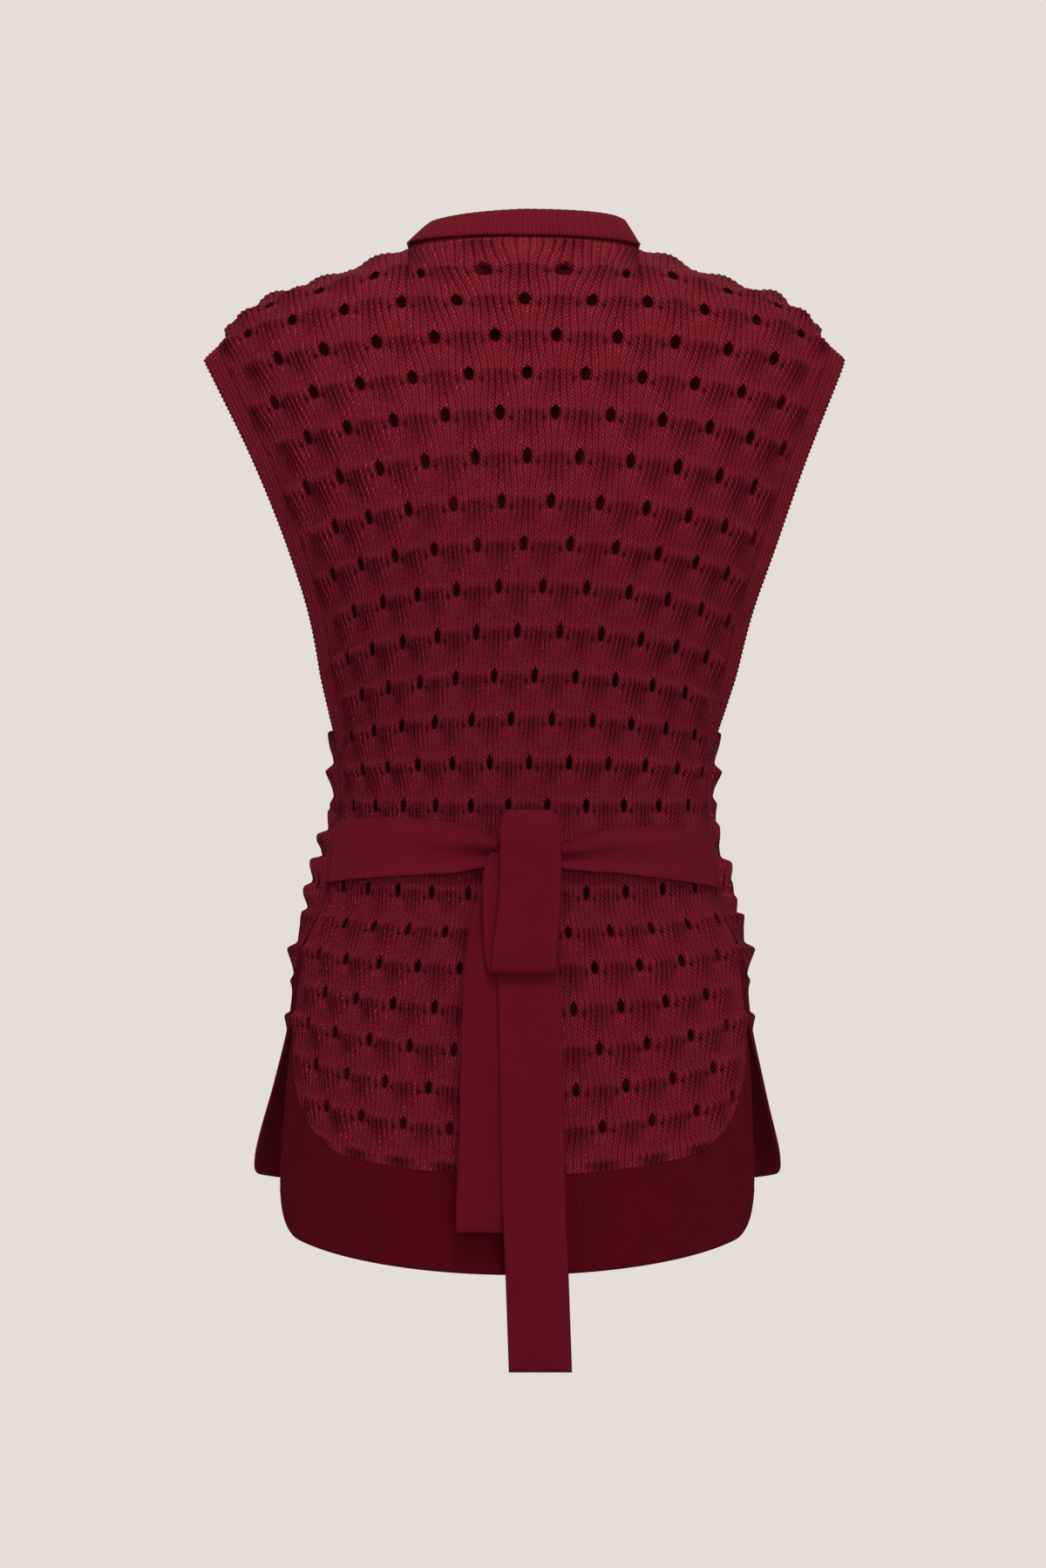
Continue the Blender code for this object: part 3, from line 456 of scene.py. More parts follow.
def waist_knobs(repeat, row):
    """Height of the knobs on the front's sides, where the belt bunches the knit."""
    total = np.zeros_like(row)
    for hand, line, reach, height in WAIST_KNOBS:
        across = (repeat * hand / edge_repeat(FRONT, row) - reach) / KNOB_HALF_WIDTH
        down = (row - line) / KNOB_ROWS
        falling = 0.5 + 0.5 * np.cos(np.pi * np.clip(down, 0, 1))
        profile = np.where(down < 0, smooth_step(1 + down / KNOB_RISE), falling)
        total = np.maximum(total, height * np.exp(-across ** 2) * profile)
    return total


def open_eyelets(side, pattern, row, allowed):
    """Pushes the knit outwards round each eyelet, and says where the centres, lips and gaps are.

    A point at r eyelet radii from a centre goes to (r^3 + 1)^(1/3) radii. A blind eyelet keeps its middle.
    The lip is 1 at the hole's edge and dies out from it; a gap is 1 in the small gaps beside the eyelet.
    """
    line = np.round(row)
    column = nearest_column(side, pattern, line, 0)
    is_open = allowed(column, line)
    across, down = pattern - column, row - line
    wide, narrow = EYELET_HALF_WIDTH
    wide = wide + (narrow - wide) * smooth_step((line - 3) / 9)
    wide = wide * (1 + 0.22 * np.clip(down / EYELET_HALF_HEIGHT, -1, 1))
    radius = np.sqrt((across / wide) ** 2 + (down / EYELET_HALF_HEIGHT) ** 2)
    pushed = np.where(is_open & (radius > 1e-6), (radius ** 3 + 1) ** (1 / 3) / np.maximum(radius, 1e-6), 1.0)
    blind = is_open & no_light(side, column, line)
    centre = is_open & ~blind & (radius < 1e-6)
    lip = np.where(is_open, np.exp(-(radius / 0.75) ** 2), 0.0)
    aside = (np.abs(across) - GAP_ASIDE) / GAP_RADIUS
    below = (down - GAP_BELOW) * ROW_TO_REPEAT / GAP_RADIUS
    gap = np.where(is_open, np.exp(-aside ** 2 - below ** 2), 0.0)
    return column + across * pushed, line + down * pushed, centre, (blind, lip, gap)


def seen_at(side, column, line):
    """Where the photograph's camera sees a place of the pattern, as its slopes across and up."""
    place = cloth_point(side, column + lean(column, line), line)
    depth = (place[..., 1] + PHOTO_DISTANCE + BACK_DEPTH)[..., None]
    return (place[..., ::2] - np.array([0, EYE_LEVEL])) / depth


def no_light(side, column, line):
    """Whether an eyelet is a pit, since the photograph shows no light through it.

    These are the back's two below the neckband and the front's that lie behind one of the back's.
    """
    if side == BACK:
        return (line < 1.5) & (np.abs(column) < 1)
    keys, index = np.unique(np.stack([column.ravel(), line.ravel()]), axis=1, return_inverse=True)
    places = np.meshgrid(np.arange(1.0, math.floor(ROW_BACK_BAND)), np.arange(-6.0, 7))
    lines, columns = (grid.ravel() for grid in places)
    behind = seen_at(BACK, columns + 0.5 * (lines % 2), lines)
    apart = np.abs(seen_at(FRONT, *keys)[:, None] - behind) / SIGHT_GAP
    return (apart.max(axis=-1).min(axis=-1) < 1)[index.ravel()].reshape(column.shape)


# ---- meshes ------------------------------------------------------------------------------------------
def stitch_grid(*parts):
    """Stitch coordinates as one array, from parts that are each a value, a line or a grid."""
    return np.stack(np.broadcast_arrays(*parts), axis=-1)


def corners(grid):
    """A grid's values at the four corners of its faces."""
    return grid[:-1, :-1], grid[1:, :-1], grid[1:, 1:], grid[:-1, 1:]


def add_piece(name, points, stitches, look, node, kept=None, thickness=0.0, closed=False):
    """A smooth grid piece: its points, its stitch coordinates, and the faces that are kept, if not all.

    The stitch attribute holds (wale, course, painted shade) and guides the bump and colour of the yarn.
    """
    lines, columns = points.shape[:2]
    index = np.arange(lines * columns).reshape(lines, columns)
    if closed:
        index = np.vstack([index, index[:1]])
    quads = np.stack(corners(index), axis=-1)
    if kept is not None:
        quads = quads[kept]
    flat = points.reshape(-1, 3)
    used, quads = np.unique(quads, return_inverse=True)
    quads = quads.reshape(-1, 4)
    mesh = bpy.data.meshes.new(name)
    mesh.vertices.add(len(used))
    mesh.vertices.foreach_set("co", flat[used].ravel().astype(np.float32))
    mesh.loops.add(quads.size)
    mesh.loops.foreach_set("vertex_index", quads.ravel().astype(np.int32))
    mesh.polygons.add(len(quads))
    mesh.polygons.foreach_set("loop_start", np.arange(0, quads.size, 4, dtype=np.int32))
    mesh.polygons.foreach_set("use_smooth", np.ones(len(quads), bool))
    mesh.update(calc_edges=True)
    attribute = mesh.attributes.new("stitch", "FLOAT_VECTOR", "POINT")
    values = np.zeros((len(used), 3), np.float32)
    channels = stitches.shape[-1]
    values[:, :channels] = stitches.reshape(-1, channels)[used]
    attribute.data.foreach_set("vector", values.ravel())
    mesh.materials.append(look)
    obj = bpy.data.objects.new(name, mesh)
    bpy.context.scene.collection.objects.link(obj)
    if thickness:
        solid = obj.modifiers.new("cloth", "SOLIDIFY")
        solid.thickness = thickness
        solid.offset = -1
    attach(obj, "root")
    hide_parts(node)
    return obj


# ---- panels ------------------------------------------------------------------------------------------
def neck_row(side, repeat):
    """Row of the top edge: the shoulder seams, and the front neckline as half an ellipse."""
    inside = np.sqrt(np.clip(1 - (repeat / NECK_REPEATS) ** 2, 0, 1))
    return ROW_TOP + ((ROW_FRONT_NECK - ROW_TOP) * inside if side == FRONT else 0 * inside)


def rounded_bottom(repeat, half_width, bottom, corner):
    """Row of a bottom edge whose corners are quarter ellipses."""
    into = np.clip((np.abs(repeat) - (half_width - corner[0])) / corner[0], 0, 1)
    return bottom - corner[1] * (1 - np.sqrt(1 - into ** 2))


def knit_inset(side, row):
    """How far from the slit's edge the knit ends, in repeats."""
    most, start = KNIT_INSET[side]
    return most * smooth_step((row - start) / INSET_ROWS)


def side_limit(side, row):
    """Repeats to a panel's side edge: the armhole's curve, the side seam, and the slit's border."""
    cut = read_table(ARMHOLE_CURVE, row)[0 if side == BACK else 1]
    limit = edge_repeat(side, row) - np.where(row < ROW_UNDERARM, cut, 0)
    return limit - knit_inset(side, row)


def mesh_columns(side):
    """Pattern columns of a panel's mesh, from edge to edge."""
    reach = math.ceil(float(np.max(edge_repeat(side, ROW_SLIT))) + 0.4)
    return np.linspace(-reach, reach, 2 * reach * COLUMNS_PER_REPEAT + 1)


def knit_face(side, pattern0, row0, repeat, row, rim, eyelets):
    """Height of the knit over the form, and its stitch coordinates with the painted shade of its crevices.

    The pattern comes from the plain grid, pattern0 and row0, and its place from the grid that the eyelets
    have pushed open, repeat and row. The height is the peaks' relief, less a groove between wales, less the
    eyelets' lips and the small gaps. The groove, (1 - cos(2 pi wale)) / 2, is deeper in the fans and
    shallower at the shoulders' crest.
    """
    blind, lip, gap = eyelets
    relief, fan = openwork_relief(side, pattern0, row0)
    if side == FRONT:
        relief = np.maximum(relief, waist_knobs(repeat, row))
    turned = np.cos(np.pi * (row0 + (side == FRONT)))
    wale = pattern0 * WALES_PER_REPEAT - WALE_DRIFT * np.sin(2 * np.pi * pattern0) * turned
    groove = 0.5 - 0.5 * np.cos(2 * np.pi * wale)
    depth = (WALE_DEPTH + FAN_DEPTH * fan) * (0.4 + 0.6 * smooth_step((row - 0.6) / 1.5))
    height = CLOTH_STAND + relief * rim - depth * groove * (0.4 + 0.6 * rim)
    height = height - EYELET_LIP * lip * (1 + BLIND_DEPTH * blind) - GAP_DEPTH * gap
    # painted shade: the gaps, the eyelets' lips, the blind eyelets' pits, the fans below the peaks and the
    # grooves between wales are darkened in colour
    shade = GAP_SHADE * gap + (LIP_SHADE + BLIND_SHADE * blind) * lip + FAN_SHADE * fan
    shade = np.clip(shade + groove * (GROOVE_SHADE + FAN_GROOVE_SHADE * fan), 0, 1)
    return height, stitch_grid(wale, row0 * COURSES_PER_ROW, shade)


def openwork_panel(name, side, first_row, last_row, look, node):
    """A stretch of the back or the front: its grid is pushed open at the eyelets, then cut to the outline."""
    band = ROW_BACK_BAND if side == BACK else ROW_FRONT_BAND
    lines = np.arange(math.floor(first_row * LINES_PER_ROW), math.ceil(last_row * LINES_PER_ROW) + 1)
    lines = np.clip(lines / LINES_PER_ROW, first_row, last_row)
    pattern0, row0 = np.meshgrid(mesh_columns(side), lines)

    def allowed(column, line):
        """Whether an eyelet has room inside the panel's outline."""
        place = column + lean(column, line)
        room_side = side_limit(side, line) - np.abs(place)
        room_top = line - neck_row(side, place)
        room_bottom = rounded_bottom(place, side_limit(side, line), band, KNIT_CORNER[side]) - line
        return (room_side > 0.3) & (room_top > 0.5) & (room_bottom > 0.4)

    pattern, row, centre, eyelets = open_eyelets(side, pattern0, row0, allowed)
    limit = side_limit(side, row0)
    repeat = np.clip(pattern + lean(pattern, row), -limit, limit)
    top = neck_row(side, repeat)
    bottom = np.where(row0 > ROW_SLIT, rounded_bottom(repeat, limit, band, KNIT_CORNER[side]), band)
    row = np.clip(row, top, bottom)
    repeat0 = pattern0 + lean(pattern0, row0)
    inside = (np.abs(repeat0) < limit + 1.5 / COLUMNS_PER_REPEAT) & (row0 < bottom + 1.5 / LINES_PER_ROW)
    inside &= row0 > neck_row(side, repeat0) - 1.5 / LINES_PER_ROW

    side_room = np.where((side == BACK) & (row0 > ROW_SLIT + 0.6), SLIT_ROOM, EDGE_ROOM)
    rim = np.minimum((limit - np.abs(repeat)) / side_room, (row - top) / TOP_ROOM)
    rim = smooth_step(np.minimum(rim, (bottom - row) / EDGE_ROOM))
    height, stitches = knit_face(side, pattern0, row0, repeat, row, rim, eyelets)
    points = raised_point(side, repeat, row, height)
    a, b, c, d = corners(points)
    has_area = np.linalg.norm(np.cross(a - c, b - d), axis=-1) > SMALLEST_FACE
    kept = np.all(corners(inside), axis=0) & ~np.any(corners(centre), axis=0) & has_area
    if side == FRONT:
        points, stitches, kept = points[:, ::-1], stitches[:, ::-1], kept[:, ::-1]
    return add_piece(name, points, stitches, look, node, kept)


# ---- hem bands ---------------------------------------------------------------------------------------
def hem_band(name, side, look, node):
    """The ribbed band round the bottom and up both slits, which reaches under the knit's edge."""
    band, hem = (ROW_BACK_BAND, ROW_BACK_HEM) if side == BACK else (ROW_FRONT_BAND, ROW_FRONT_HEM)
    edge = float(edge_repeat(side, ROW_SLIT))
    rib_count = round(2 * edge * RIBS_PER_REPEAT)
    columns = np.linspace(-edge, edge, rib_count * STEPS_PER_HEM_RIB + 1)
    lines = np.concatenate([np.arange(ROW_SLIT, band - 1, 0.12), np.arange(band - 1, hem + 0.05, 0.10)])
    repeat, row0 = np.meshgrid(columns, lines)
    outer = rounded_bottom(repeat, edge, hem, OUTER_CORNER)
    row = np.minimum(row0, outer)
    ribs = (repeat / (2 * edge)) * rib_count
    rim = smooth_step((outer - row) / 0.12)
    knit_edge = edge - knit_inset(side, row)
    knit_end = rounded_bottom(repeat, knit_edge, band, KNIT_CORNER[side])
    covered = smooth_step(np.minimum((knit_edge - np.abs(repeat)) / 0.2, (knit_end - row) / 0.3))
    height = BAND_STAND + RIB_DEPTH * (np.cos(2 * np.pi * ribs) * rim - (1 - rim)) - BAND_TUCK * covered
    points = raised_point(side, repeat, row, height)
    hidden = (np.abs(repeat) < edge - BORDER_REPEATS - BAND_OVERLAP) & (row0 < knit_end - BAND_OVERLAP)
    kept = ~np.all(corners(hidden), axis=0)
    beyond = row0 > outer + 1e-9
    kept &= ~(beyond[:-1, :-1] & beyond[:-1, 1:])
    stitches = stitch_grid(ribs * 2, row0 * RIB_COURSES_PER_ROW)
    if side == FRONT:
        points, stitches, kept = points[:, ::-1], stitches[:, ::-1], kept[:, ::-1]
    return add_piece(name, points, stitches, look, node, kept, thickness=BAND_CLOTH)


# ---- neckband and armhole bands ----------------------------------------------------------------------
def smoothed(loop, passes):
    """A closed loop of points or directions with its kinks taken out."""
    for _ in range(passes):
        loop = (np.roll(loop, 1, axis=0) + 2 * loop + np.roll(loop, -1, axis=0)) / 4
    return loop


def resampled(loop, count):
    """A closed loop of points or directions at equal steps of its own length, by Catmull-Rom curves."""
    places = loop[:, :3]
    lengths = np.linalg.norm(np.roll(places, -1, axis=0) - places, axis=1)
    travelled = np.concatenate([[0], np.cumsum(lengths)])
    wanted = np.linspace(0, travelled[-1], count, endpoint=False)
    index = np.clip(np.searchsorted(travelled, wanted, side="right") - 1, 0, len(loop) - 1)
    t = ((wanted - travelled[index]) / lengths[index])[:, None]
    a, b, c, d = (loop[(index + k) % len(loop)] for k in (-1, 0, 1, 2))
    square, cube = a - 2.5 * b + 2 * c - d / 2, 1.5 * (b - c) + (d - a) / 2
    return b + t * (c - a) / 2 + t * t * square + t ** 3 * cube


def armhole_edge(side):
    """Repeats and rows of a cloth's armhole edge, from the shoulder to the underarm."""
    curve_rows = [line[0] for line in ARMHOLE_CURVE]
    rows = np.array(list(np.linspace(ROW_TOP, curve_rows[0], ARMHOLE_STATIONS)) + curve_rows[1:])
    return edge_repeat(side, rows) - read_table(ARMHOLE_CURVE, rows)[0 if side == BACK else 1], rows


def armhole_band(name, hand, look, node):
    """The ribbed band round one armhole: up the back cloth's edge, over the shoulder, down the front's."""
    up_back = [np.array(line)[::-1] for line in armhole_edge(BACK)]
    down_front = [np.array(line)[1:-1] for line in armhole_edge(FRONT)]
    edge = np.vstack([cloth_point(BACK, hand * up_back[0], up_back[1]),
                      cloth_point(FRONT, hand * down_front[0], down_front[1])])
    normal = np.vstack([cloth_normal(BACK, hand * up_back[0], up_back[1]),
                        cloth_normal(FRONT, hand * down_front[0], down_front[1])])
    tangent = unit(np.roll(edge, -1, axis=0) - np.roll(edge, 1, axis=0))
    away = unit(smoothed(-hand * np.cross(normal, tangent), 3))
    outward = unit(smoothed(normal, 2))
    length = np.linalg.norm(np.roll(edge, -1, axis=0) - edge, axis=1).sum()
    courses = round(length / ARMHOLE_COURSE)
    loop = resampled(np.hstack([edge, away, outward]), courses * STEPS_PER_COURSE)
    edge, away, outward = loop[:, None, :3], unit(loop[:, None, 3:6]), unit(loop[:, None, 6:])
    share = np.linspace(-0.12, 1, 20)[None, :, None]
    course = (np.arange(len(loop)) / STEPS_PER_COURSE)[:, None, None]
    wale = share * ARMHOLE_WALES
    groove = 0.5 - 0.5 * np.cos(2 * np.pi * wale)
    rim = smooth_step((1 - share) / 0.16)
    height = ARMHOLE_STAND - ARMHOLE_GROOVE * (groove + 1 - rim)
    scallop = ARMHOLE_SCALLOP * (np.cos(2 * np.pi * course) - 1) * smooth_step((share - 0.7) / 0.3)
    points = edge + (share * ARMHOLE_BAND + scallop) * away + height * outward
    # painted shade in the rib grooves and along the seam where the band meets the cloth's edge
    shade = 0.25 * groove + 0.4 * np.exp(-(share / 0.05) ** 2)
    stitches = stitch_grid(wale, course, shade)[..., 0, :]
    if hand > 0:
        points, stitches = points[:, ::-1], stitches[:, ::-1]
    return add_piece(name, points, stitches, look, node, thickness=BAND_CLOTH, closed=True)


def neck_loop():
    """The neck edge all round, and the ways in which the neckband rises from it and faces."""
    stations = NECKBAND_RIBS * STEPS_PER_RIB
    angle = np.linspace(0, 2 * math.pi, stations, endpoint=False)
    repeat = NECK_REPEATS * np.sin(angle)
    on_back = (np.cos(angle) >= 0)[:, None]
    depth = ROW_TOP + (ROW_FRONT_NECK - ROW_TOP) * np.abs(np.cos(angle))
    edge = np.where(on_back, cloth_point(BACK, repeat, ROW_TOP), cloth_point(FRONT, repeat, depth))
    folded = np.degrees(np.abs((angle + math.pi) % (2 * math.pi) - math.pi))
    lean_in, = read_table(NECK_LEAN, folded)
    tangent = unit(np.roll(edge, -1, axis=0) - np.roll(edge, 1, axis=0))
    inward = (np.array(NECK_MIDDLE) - edge) * np.array([1.0, 1.0, 0.0])
    rise = unit(unit(inward) * lean_in[:, None] + np.array([NECK_SWAY, 0.0, 1.0]))
    rise = unit(rise - (rise * tangent).sum(axis=1, keepdims=True) * tangent)
    out = unit(np.cross(tangent, rise))
    out = out * -np.sign((out * inward).sum(axis=1, keepdims=True))
    loop = resampled(np.hstack([edge, rise, out]), stations)
    return loop[:, None, :3], unit(loop[:, None, 3:6]), unit(loop[:, None, 6:])


def neckband(name, look, node):
    """The ribbed neckband: it stands up from the neck edge and leans inwards.

    Across a rib, u from -1 to 1, its bar's height is 1 - |u|^4.
    """
    edge, rise, out = neck_loop()
    share = np.linspace(-0.04, 1, 10)[None, :, None]
    across = (np.arange(len(edge)) / STEPS_PER_RIB)[:, None, None]
    bar = 1 - np.abs(2 * (across % 1) - 1) ** 4
    rim = smooth_step((1 - share) / 0.10)
    cushion = NECKBAND_CUSHION * np.sin(np.pi * np.clip(share, 0, 1))
    height = NECKBAND_CLOTH + cushion + NECKBAND_RIB_DEPTH * (bar * (0.35 + 0.65 * rim) - 0.8 * (1 - rim))
    points = edge + share * NECKBAND_HEIGHT * rise + height * out
    # the third stitch value is painted shade in the grooves between the ribs
    stitches = stitch_grid(across * 3, share * 9, 0.95 * (1 - bar) ** 1.3)[:, ::-1, 0]
    return add_piece(name, points[:, ::-1], stitches, look, node, thickness=NECKBAND_CLOTH, closed=True)


def neck_linking(name, look, node):
    """The row of stitches that links the neckband to the panels: a cord along the neck edge.

    Its radius swells and shrinks with (1 + cos(2 pi stitch)) / 2.
    """
    edge, rise, out = neck_loop()
    stitch = (np.arange(len(edge)) / STEPS_PER_RIB)[:, None, None] * LINKS_PER_RIB
    turn = np.linspace(0, 2 * np.pi, 9)[None, :, None]
    lump = 0.5 + 0.5 * np.cos(2 * np.pi * stitch)
    radius = LINK_RADIUS * (0.72 + 0.28 * lump)
    points = edge + (LINK_RISE + radius * np.cos(turn)) * rise + (LINK_STAND + radius * np.sin(turn)) * out
    # the third stitch value is painted shade between the linking stitches, where the cord narrows
    stitches = stitch_grid(stitch, turn, 0.40 - 0.40 * lump)[:, ::-1, 0]
    return add_piece(name, points[:, ::-1], stitches, look, node, closed=True)


# ---- belt --------------------------------------------------------------------------------------------
def belt_strap(name, rows, look, node):
    """A strap over the back panel, from the side seam to the knot, gathered in soft pleats at the knot."""
    stations, across = 120, 40
    table = np.array(rows)
    repeat = np.linspace(table[0, 0], table[-1, 0], stations)
    upper, lower, pleat = read_table(rows, repeat)
    share = np.linspace(0, 1, across)
    row = upper[:, None] + (lower - upper)[:, None] * share
    repeats = np.repeat(repeat[:, None], across, axis=1)
    wave = pleat[:, None] * (1 - np.cos(2 * math.pi * STRAP_PLEATS * share))
    points = raised_point(BACK, repeats, row, BELT_CLEAR + BELT_CLOTH + wave)
    along = np.linalg.norm(np.diff(points[:, across // 2], axis=0), axis=1)
    travelled = np.concatenate([[0], np.cumsum(along)])
    stitches = stitch_grid(travelled[:, None], share * 2 * BELT_HALF_WIDTH) / JERSEY_STITCH
    return add_piece(name, points[::-1], stitches[::-1], look, node, thickness=BELT_CLOTH)


def belt_strip(name, rows, stations, look, node):
    """A strip of belt along a path, level and flat across its width."""
    across = 15
    table = np.array(rows)
    travelled = np.concatenate([[0], np.cumsum(np.linalg.norm(np.diff(table[:, :3], axis=0), axis=1))])
    place = np.linspace(0, travelled[-1], stations)
    x, y, z, half = read_table(np.column_stack([travelled, table]), place)
    path = np.stack([x, y, z], axis=-1)
    share = np.linspace(-1, 1, across)
    along = np.gradient(path, axis=0)
    normal = unit(np.cross(along, np.array([1.0, 0.0, 0.0])))[:, None]
    points = path[:, None] + half[:, None, None] * share[None, :, None] * np.array([1.0, 0.0, 0.0])
    points = points + BELT_CLOTH * normal
    stitches = stitch_grid(share * BELT_HALF_WIDTH, place[:, None]) / JERSEY_STITCH
    return add_piece(name, points, stitches, look, node, thickness=BELT_CLOTH)


# ---- materials ---------------------------------------------------------------------------------------
class Value:
    """A shader socket that Python's operators work on, by adding Math nodes."""

    def __init__(self, look, socket):
        self.look, self.socket = look, socket

    def math(self, operation, *others):
        """This value and others through one Math node."""
        return self.look.node("ShaderNodeMath", {"operation": operation}, self, *others)

    def __add__(self, other):
        return self.math("ADD", other)

    def __sub__(self, other):
        return self.math("SUBTRACT", other)

    def __mul__(self, other):
        return self.math("MULTIPLY", other)

    def __rsub__(self, other):
        return self.look.node("ShaderNodeMath", {"operation": "SUBTRACT"}, other, self)

    __radd__, __rmul__ = __add__, __mul__


class Look:
    """A material under construction: node() is the one way it gets its nodes."""

    def __init__(self, name, colour):
        self.material = bpy.data.materials.new(name)
        self.material.use_nodes = True
        self.tree = self.material.node_tree
        self.shader = self.tree.nodes["Principled BSDF"]
        self.shader.inputs["Base Color"].default_value = (*colour, 1)
        self.material.diffuse_color = (*colour, 1)

    def node(self, kind, settings, *inputs, output=0, **named):
        """A node of a kind, with its settings and its sockets' values or links, as the value it puts out."""
        made = self.tree.nodes.new(kind)
        for key, value in settings.items():
            setattr(made, key, value)
        for place, value in list(enumerate(inputs)) + list(named.items()):
            self.give(made.inputs[place.replace("_", " ") if isinstance(place, str) else place], value)
        return Value(self, made.outputs[output])

    def give(self, socket, value):
        """A value or a link for any socket."""
        if isinstance(value, Value):
            self.tree.links.new(value.socket, socket)
        elif value is not None:
            socket.default_value = value

    def set(self, name, value):
        """A value or a link for one of the shader's own sockets."""
        self.give(self.shader.inputs[name], value)


def yarn_look(name, colour, sheen, stitch_bump, stitch_shade):
    """Knitted yarn: two slanted legs to each stitch, with painted highlights on their crowns and painted
    shade in the grooves, and a soft fibre bump.

    Across a wale a leg's height is 1 - (4 |x| - 1)^4 with x from -0.5 to 0.5, and along the course it is
    (1 + cos(2 pi (course + LEG_RISE |x|))) / 2. The stitch attribute's third value paints shade into the
    crevices.
    """
    look = Look(name, colour)
    stitch = look.node("ShaderNodeAttribute", {"attribute_name": "stitch"}, output="Vector")
    wale, course, crevice = (look.node("ShaderNodeSeparateXYZ", {}, stitch, output=k) for k in range(3))
    place = look.node("ShaderNodeTexCoord", {}, output="Object")
    wander = look.node("ShaderNodeTexNoise", {}, Vector=place, Scale=WANDER_SCALE, Detail=1.0) - 0.5
    aside = ((wale + 0.5 + wander * 0.25).math("FRACT") - 0.5).math("ABSOLUTE")
    offset = (aside * 4.0 - 1.0) * (aside * 4.0 - 1.0)
    leg = (1.0 - offset * offset).math("MAXIMUM", 0.0)
    wave = ((course + aside * LEG_RISE + wander * 0.9) * (2 * math.pi)).math("COSINE") * 0.5 + 0.5
    relief = leg * 0.12 + wave * leg * 0.88
    fibre = look.node("ShaderNodeTexNoise", {}, Vector=place, Scale=FIBRE_SCALE, Detail=2.0)
    mottle = look.node("ShaderNodeTexNoise", {}, Vector=place, Scale=MOTTLE_SCALE, Detail=3.0)
    bump = look.node("ShaderNodeBump", {}, Strength=stitch_bump, Distance=BUMP_DISTANCE,
                     Height=relief + fibre * FIBRE_BUMP, output="Normal")
    # painted light and shade: the legs' crowns are painted lighter and the hollows darker, times the random
    # tone of fibre and mottle
    shade = (relief * stitch_shade + (1.0 - stitch_shade)) * (fibre * 0.45 + mottle * 0.30 + 0.65)
    lit = (shade * (1.0 - crevice * 0.85)).math("MINIMUM", 1.0)
    # the colour runs from painted crevice shade to painted crown highlights
    lit_and_shaded_colour = look.node("ShaderNodeMix", {"data_type": "RGBA"}, output=2)
    mix = lit_and_shaded_colour.socket.node
    mix.inputs[6].default_value = (*np.multiply(colour, CREVICE_SHADE_SHARE), 1)
    mix.inputs[7].default_value = (*np.multiply(colour, CROWN_HIGHLIGHT_SHARE), 1)
    look.give(mix.inputs[0], lit)
    look.set("Base Color", lit_and_shaded_colour)
    look.set("Roughness", YARN_ROUGHNESS)
    look.set("Sheen Weight", sheen)
    look.set("Sheen Roughness", 0.4)
    look.set("Sheen Tint", SHEEN_TINT)
    look.set("IOR", YARN_IOR)
    look.set("Specular Tint", GLOSS_TINT)
    look.set("Normal", bump)
    return look.material


# ---- stage -------------------------------------------------------------------------------------------
FLOOR_LEVEL = -1.35
FLOOR_RADIUS = 2.0
SURROUND_LIGHT = 0.38        # the light that the surround gives; seen by the camera it is at full strength
# columns: name, place, aim, size, power
LIGHTS = (
    ("key", (0.10, -1.3, 1.5), (0, 0, -0.25), 0.8, 24),
    ("front", (0.5, -2.6, 0.0), (0, 0, -0.35), 1.6, 17),
    ("far_side", (0.0, 2.6, -0.2), (0, 0, -0.35), 1.4, 16),
)


def area_light(name, place, aim, size, power):
    """A round soft light that faces its aim."""
    data = bpy.data.lights.new(name, "AREA")
    data.shape, data.size, data.energy = "DISK", size, power
    obj = bpy.data.objects.new(name, data)
    bpy.context.scene.collection.objects.link(obj)
    obj.location = place
    obj.rotation_euler = (Vector(aim) - Vector(place)).to_track_quat("-Z", "Y").to_euler()


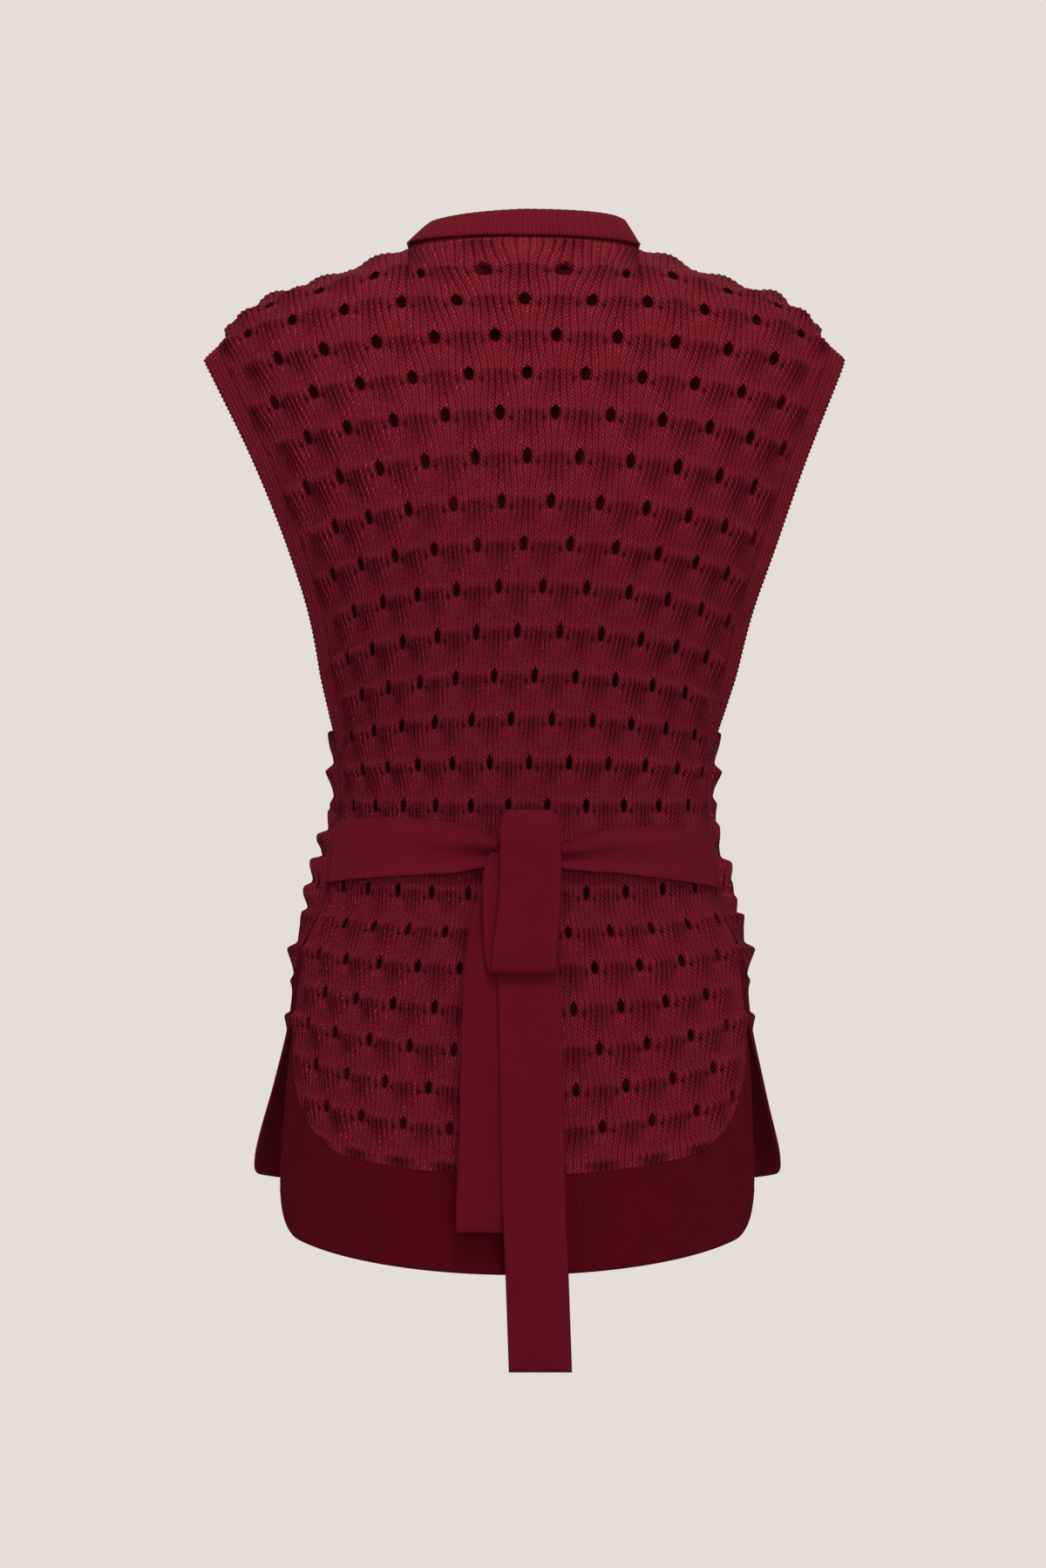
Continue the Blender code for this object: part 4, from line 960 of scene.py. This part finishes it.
def set_stage():
    """Camera at the photograph's place, soft studio light from above, a pale floor and a pale surround."""
    data = bpy.data.cameras.new("photo_camera")
    data.sensor_width = 36.0
    data.lens = data.sensor_width * PHOTO_DISTANCE / PHOTO_HEIGHT
    camera = bpy.data.objects.new("photo_camera", data)
    camera.location = (0, -(PHOTO_DISTANCE + BACK_DEPTH), EYE_LEVEL)
    camera.rotation_euler = (math.radians(90), 0, 0)
    bpy.context.scene.collection.objects.link(camera)
    bpy.context.scene.camera = camera

    for light in LIGHTS:
        area_light(*light)

    world = bpy.data.worlds.new("studio")
    bpy.context.scene.world = world
    world.use_nodes = True
    surround = world.node_tree.nodes["Background"]
    surround.inputs["Color"].default_value = (*BACKDROP_COLOUR, 1)
    seen = world.node_tree.nodes.new("ShaderNodeLightPath")
    strength = world.node_tree.nodes.new("ShaderNodeMapRange")
    strength.inputs["To Min"].default_value = SURROUND_LIGHT
    world.node_tree.links.new(seen.outputs["Is Camera Ray"], strength.inputs["Value"])
    world.node_tree.links.new(strength.outputs["Result"], surround.inputs["Strength"])
    bpy.context.scene.view_settings.view_transform = "Standard"

    angle = np.linspace(0, 2 * math.pi, 96, endpoint=False)
    ring = [(FLOOR_RADIUS * math.cos(a), FLOOR_RADIUS * math.sin(a), FLOOR_LEVEL) for a in angle]
    mesh = bpy.data.meshes.new("floor")
    mesh.from_pydata(ring, [], [list(range(len(ring)))])
    floor = bpy.data.objects.new("floor", mesh)
    floor_look = Look("pale_floor", BACKDROP_COLOUR)
    floor_look.set("Roughness", 0.95)
    mesh.materials.append(floor_look.material)
    bpy.context.scene.collection.objects.link(floor)


# ---- the whole ---------------------------------------------------------------------------------------
set_stage()
openwork = yarn_look("openwork_yarn", KNIT_COLOUR, sheen=0.03, stitch_bump=1.0, stitch_shade=0.90)
fine_rib = yarn_look("fine_rib_yarn", RIB_COLOUR, sheen=0.03, stitch_bump=0.8, stitch_shade=0.60)
bold_rib = yarn_look("neck_rib_yarn", NECK_COLOUR, sheen=0.05, stitch_bump=0.8, stitch_shade=0.60)
jersey = yarn_look("belt_jersey_yarn", BELT_COLOUR, sheen=0.08, stitch_bump=0.9, stitch_shade=0.75)

back_upper = openwork_panel("back_upper", BACK, ROW_TOP, BELT_ROW, openwork, "back_panel")
back_lower = openwork_panel("back_lower", BACK, BELT_ROW, ROW_BACK_BAND, openwork, "back_panel")
front_upper = openwork_panel("front_upper", FRONT, ROW_TOP, ROW_CHEST, openwork, "front_panel")
front_middle = openwork_panel("front_middle", FRONT, ROW_CHEST, ROW_HIPS, openwork, "front_panel")
front_lower = openwork_panel("front_lower", FRONT, ROW_HIPS, ROW_FRONT_BAND, openwork, "front_panel")
back_hem = hem_band("back_hem", BACK, fine_rib, "back_hem_band")
front_hem = hem_band("front_hem", FRONT, fine_rib, "front_hem_band")
neck = neckband("neck_rib", bold_rib, "neckband")
neck_links = neck_linking("neck_rib_linking", bold_rib, "neckband")
left_armhole = armhole_band("left_armhole_rib", -1, openwork, "armhole_band_left")
right_armhole = armhole_band("right_armhole_rib", 1, openwork, "armhole_band_right")
left_strap = belt_strap("left_strap", LEFT_STRAP, jersey, "belt_strap_left")
right_strap = belt_strap("right_strap", RIGHT_STRAP, jersey, "belt_strap_right")
bow = belt_strip("bow", BOW, 160, jersey, "belt_bow")
short_tail = belt_strip("short_tail", SHORT_TAIL, 90, jersey, "belt_tail_short")
long_tail = belt_strip("long_tail", LONG_TAIL, 110, jersey, "belt_tail_long")
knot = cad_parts["belt_knot"].data.materials
knot.clear()
knot.append(jersey)
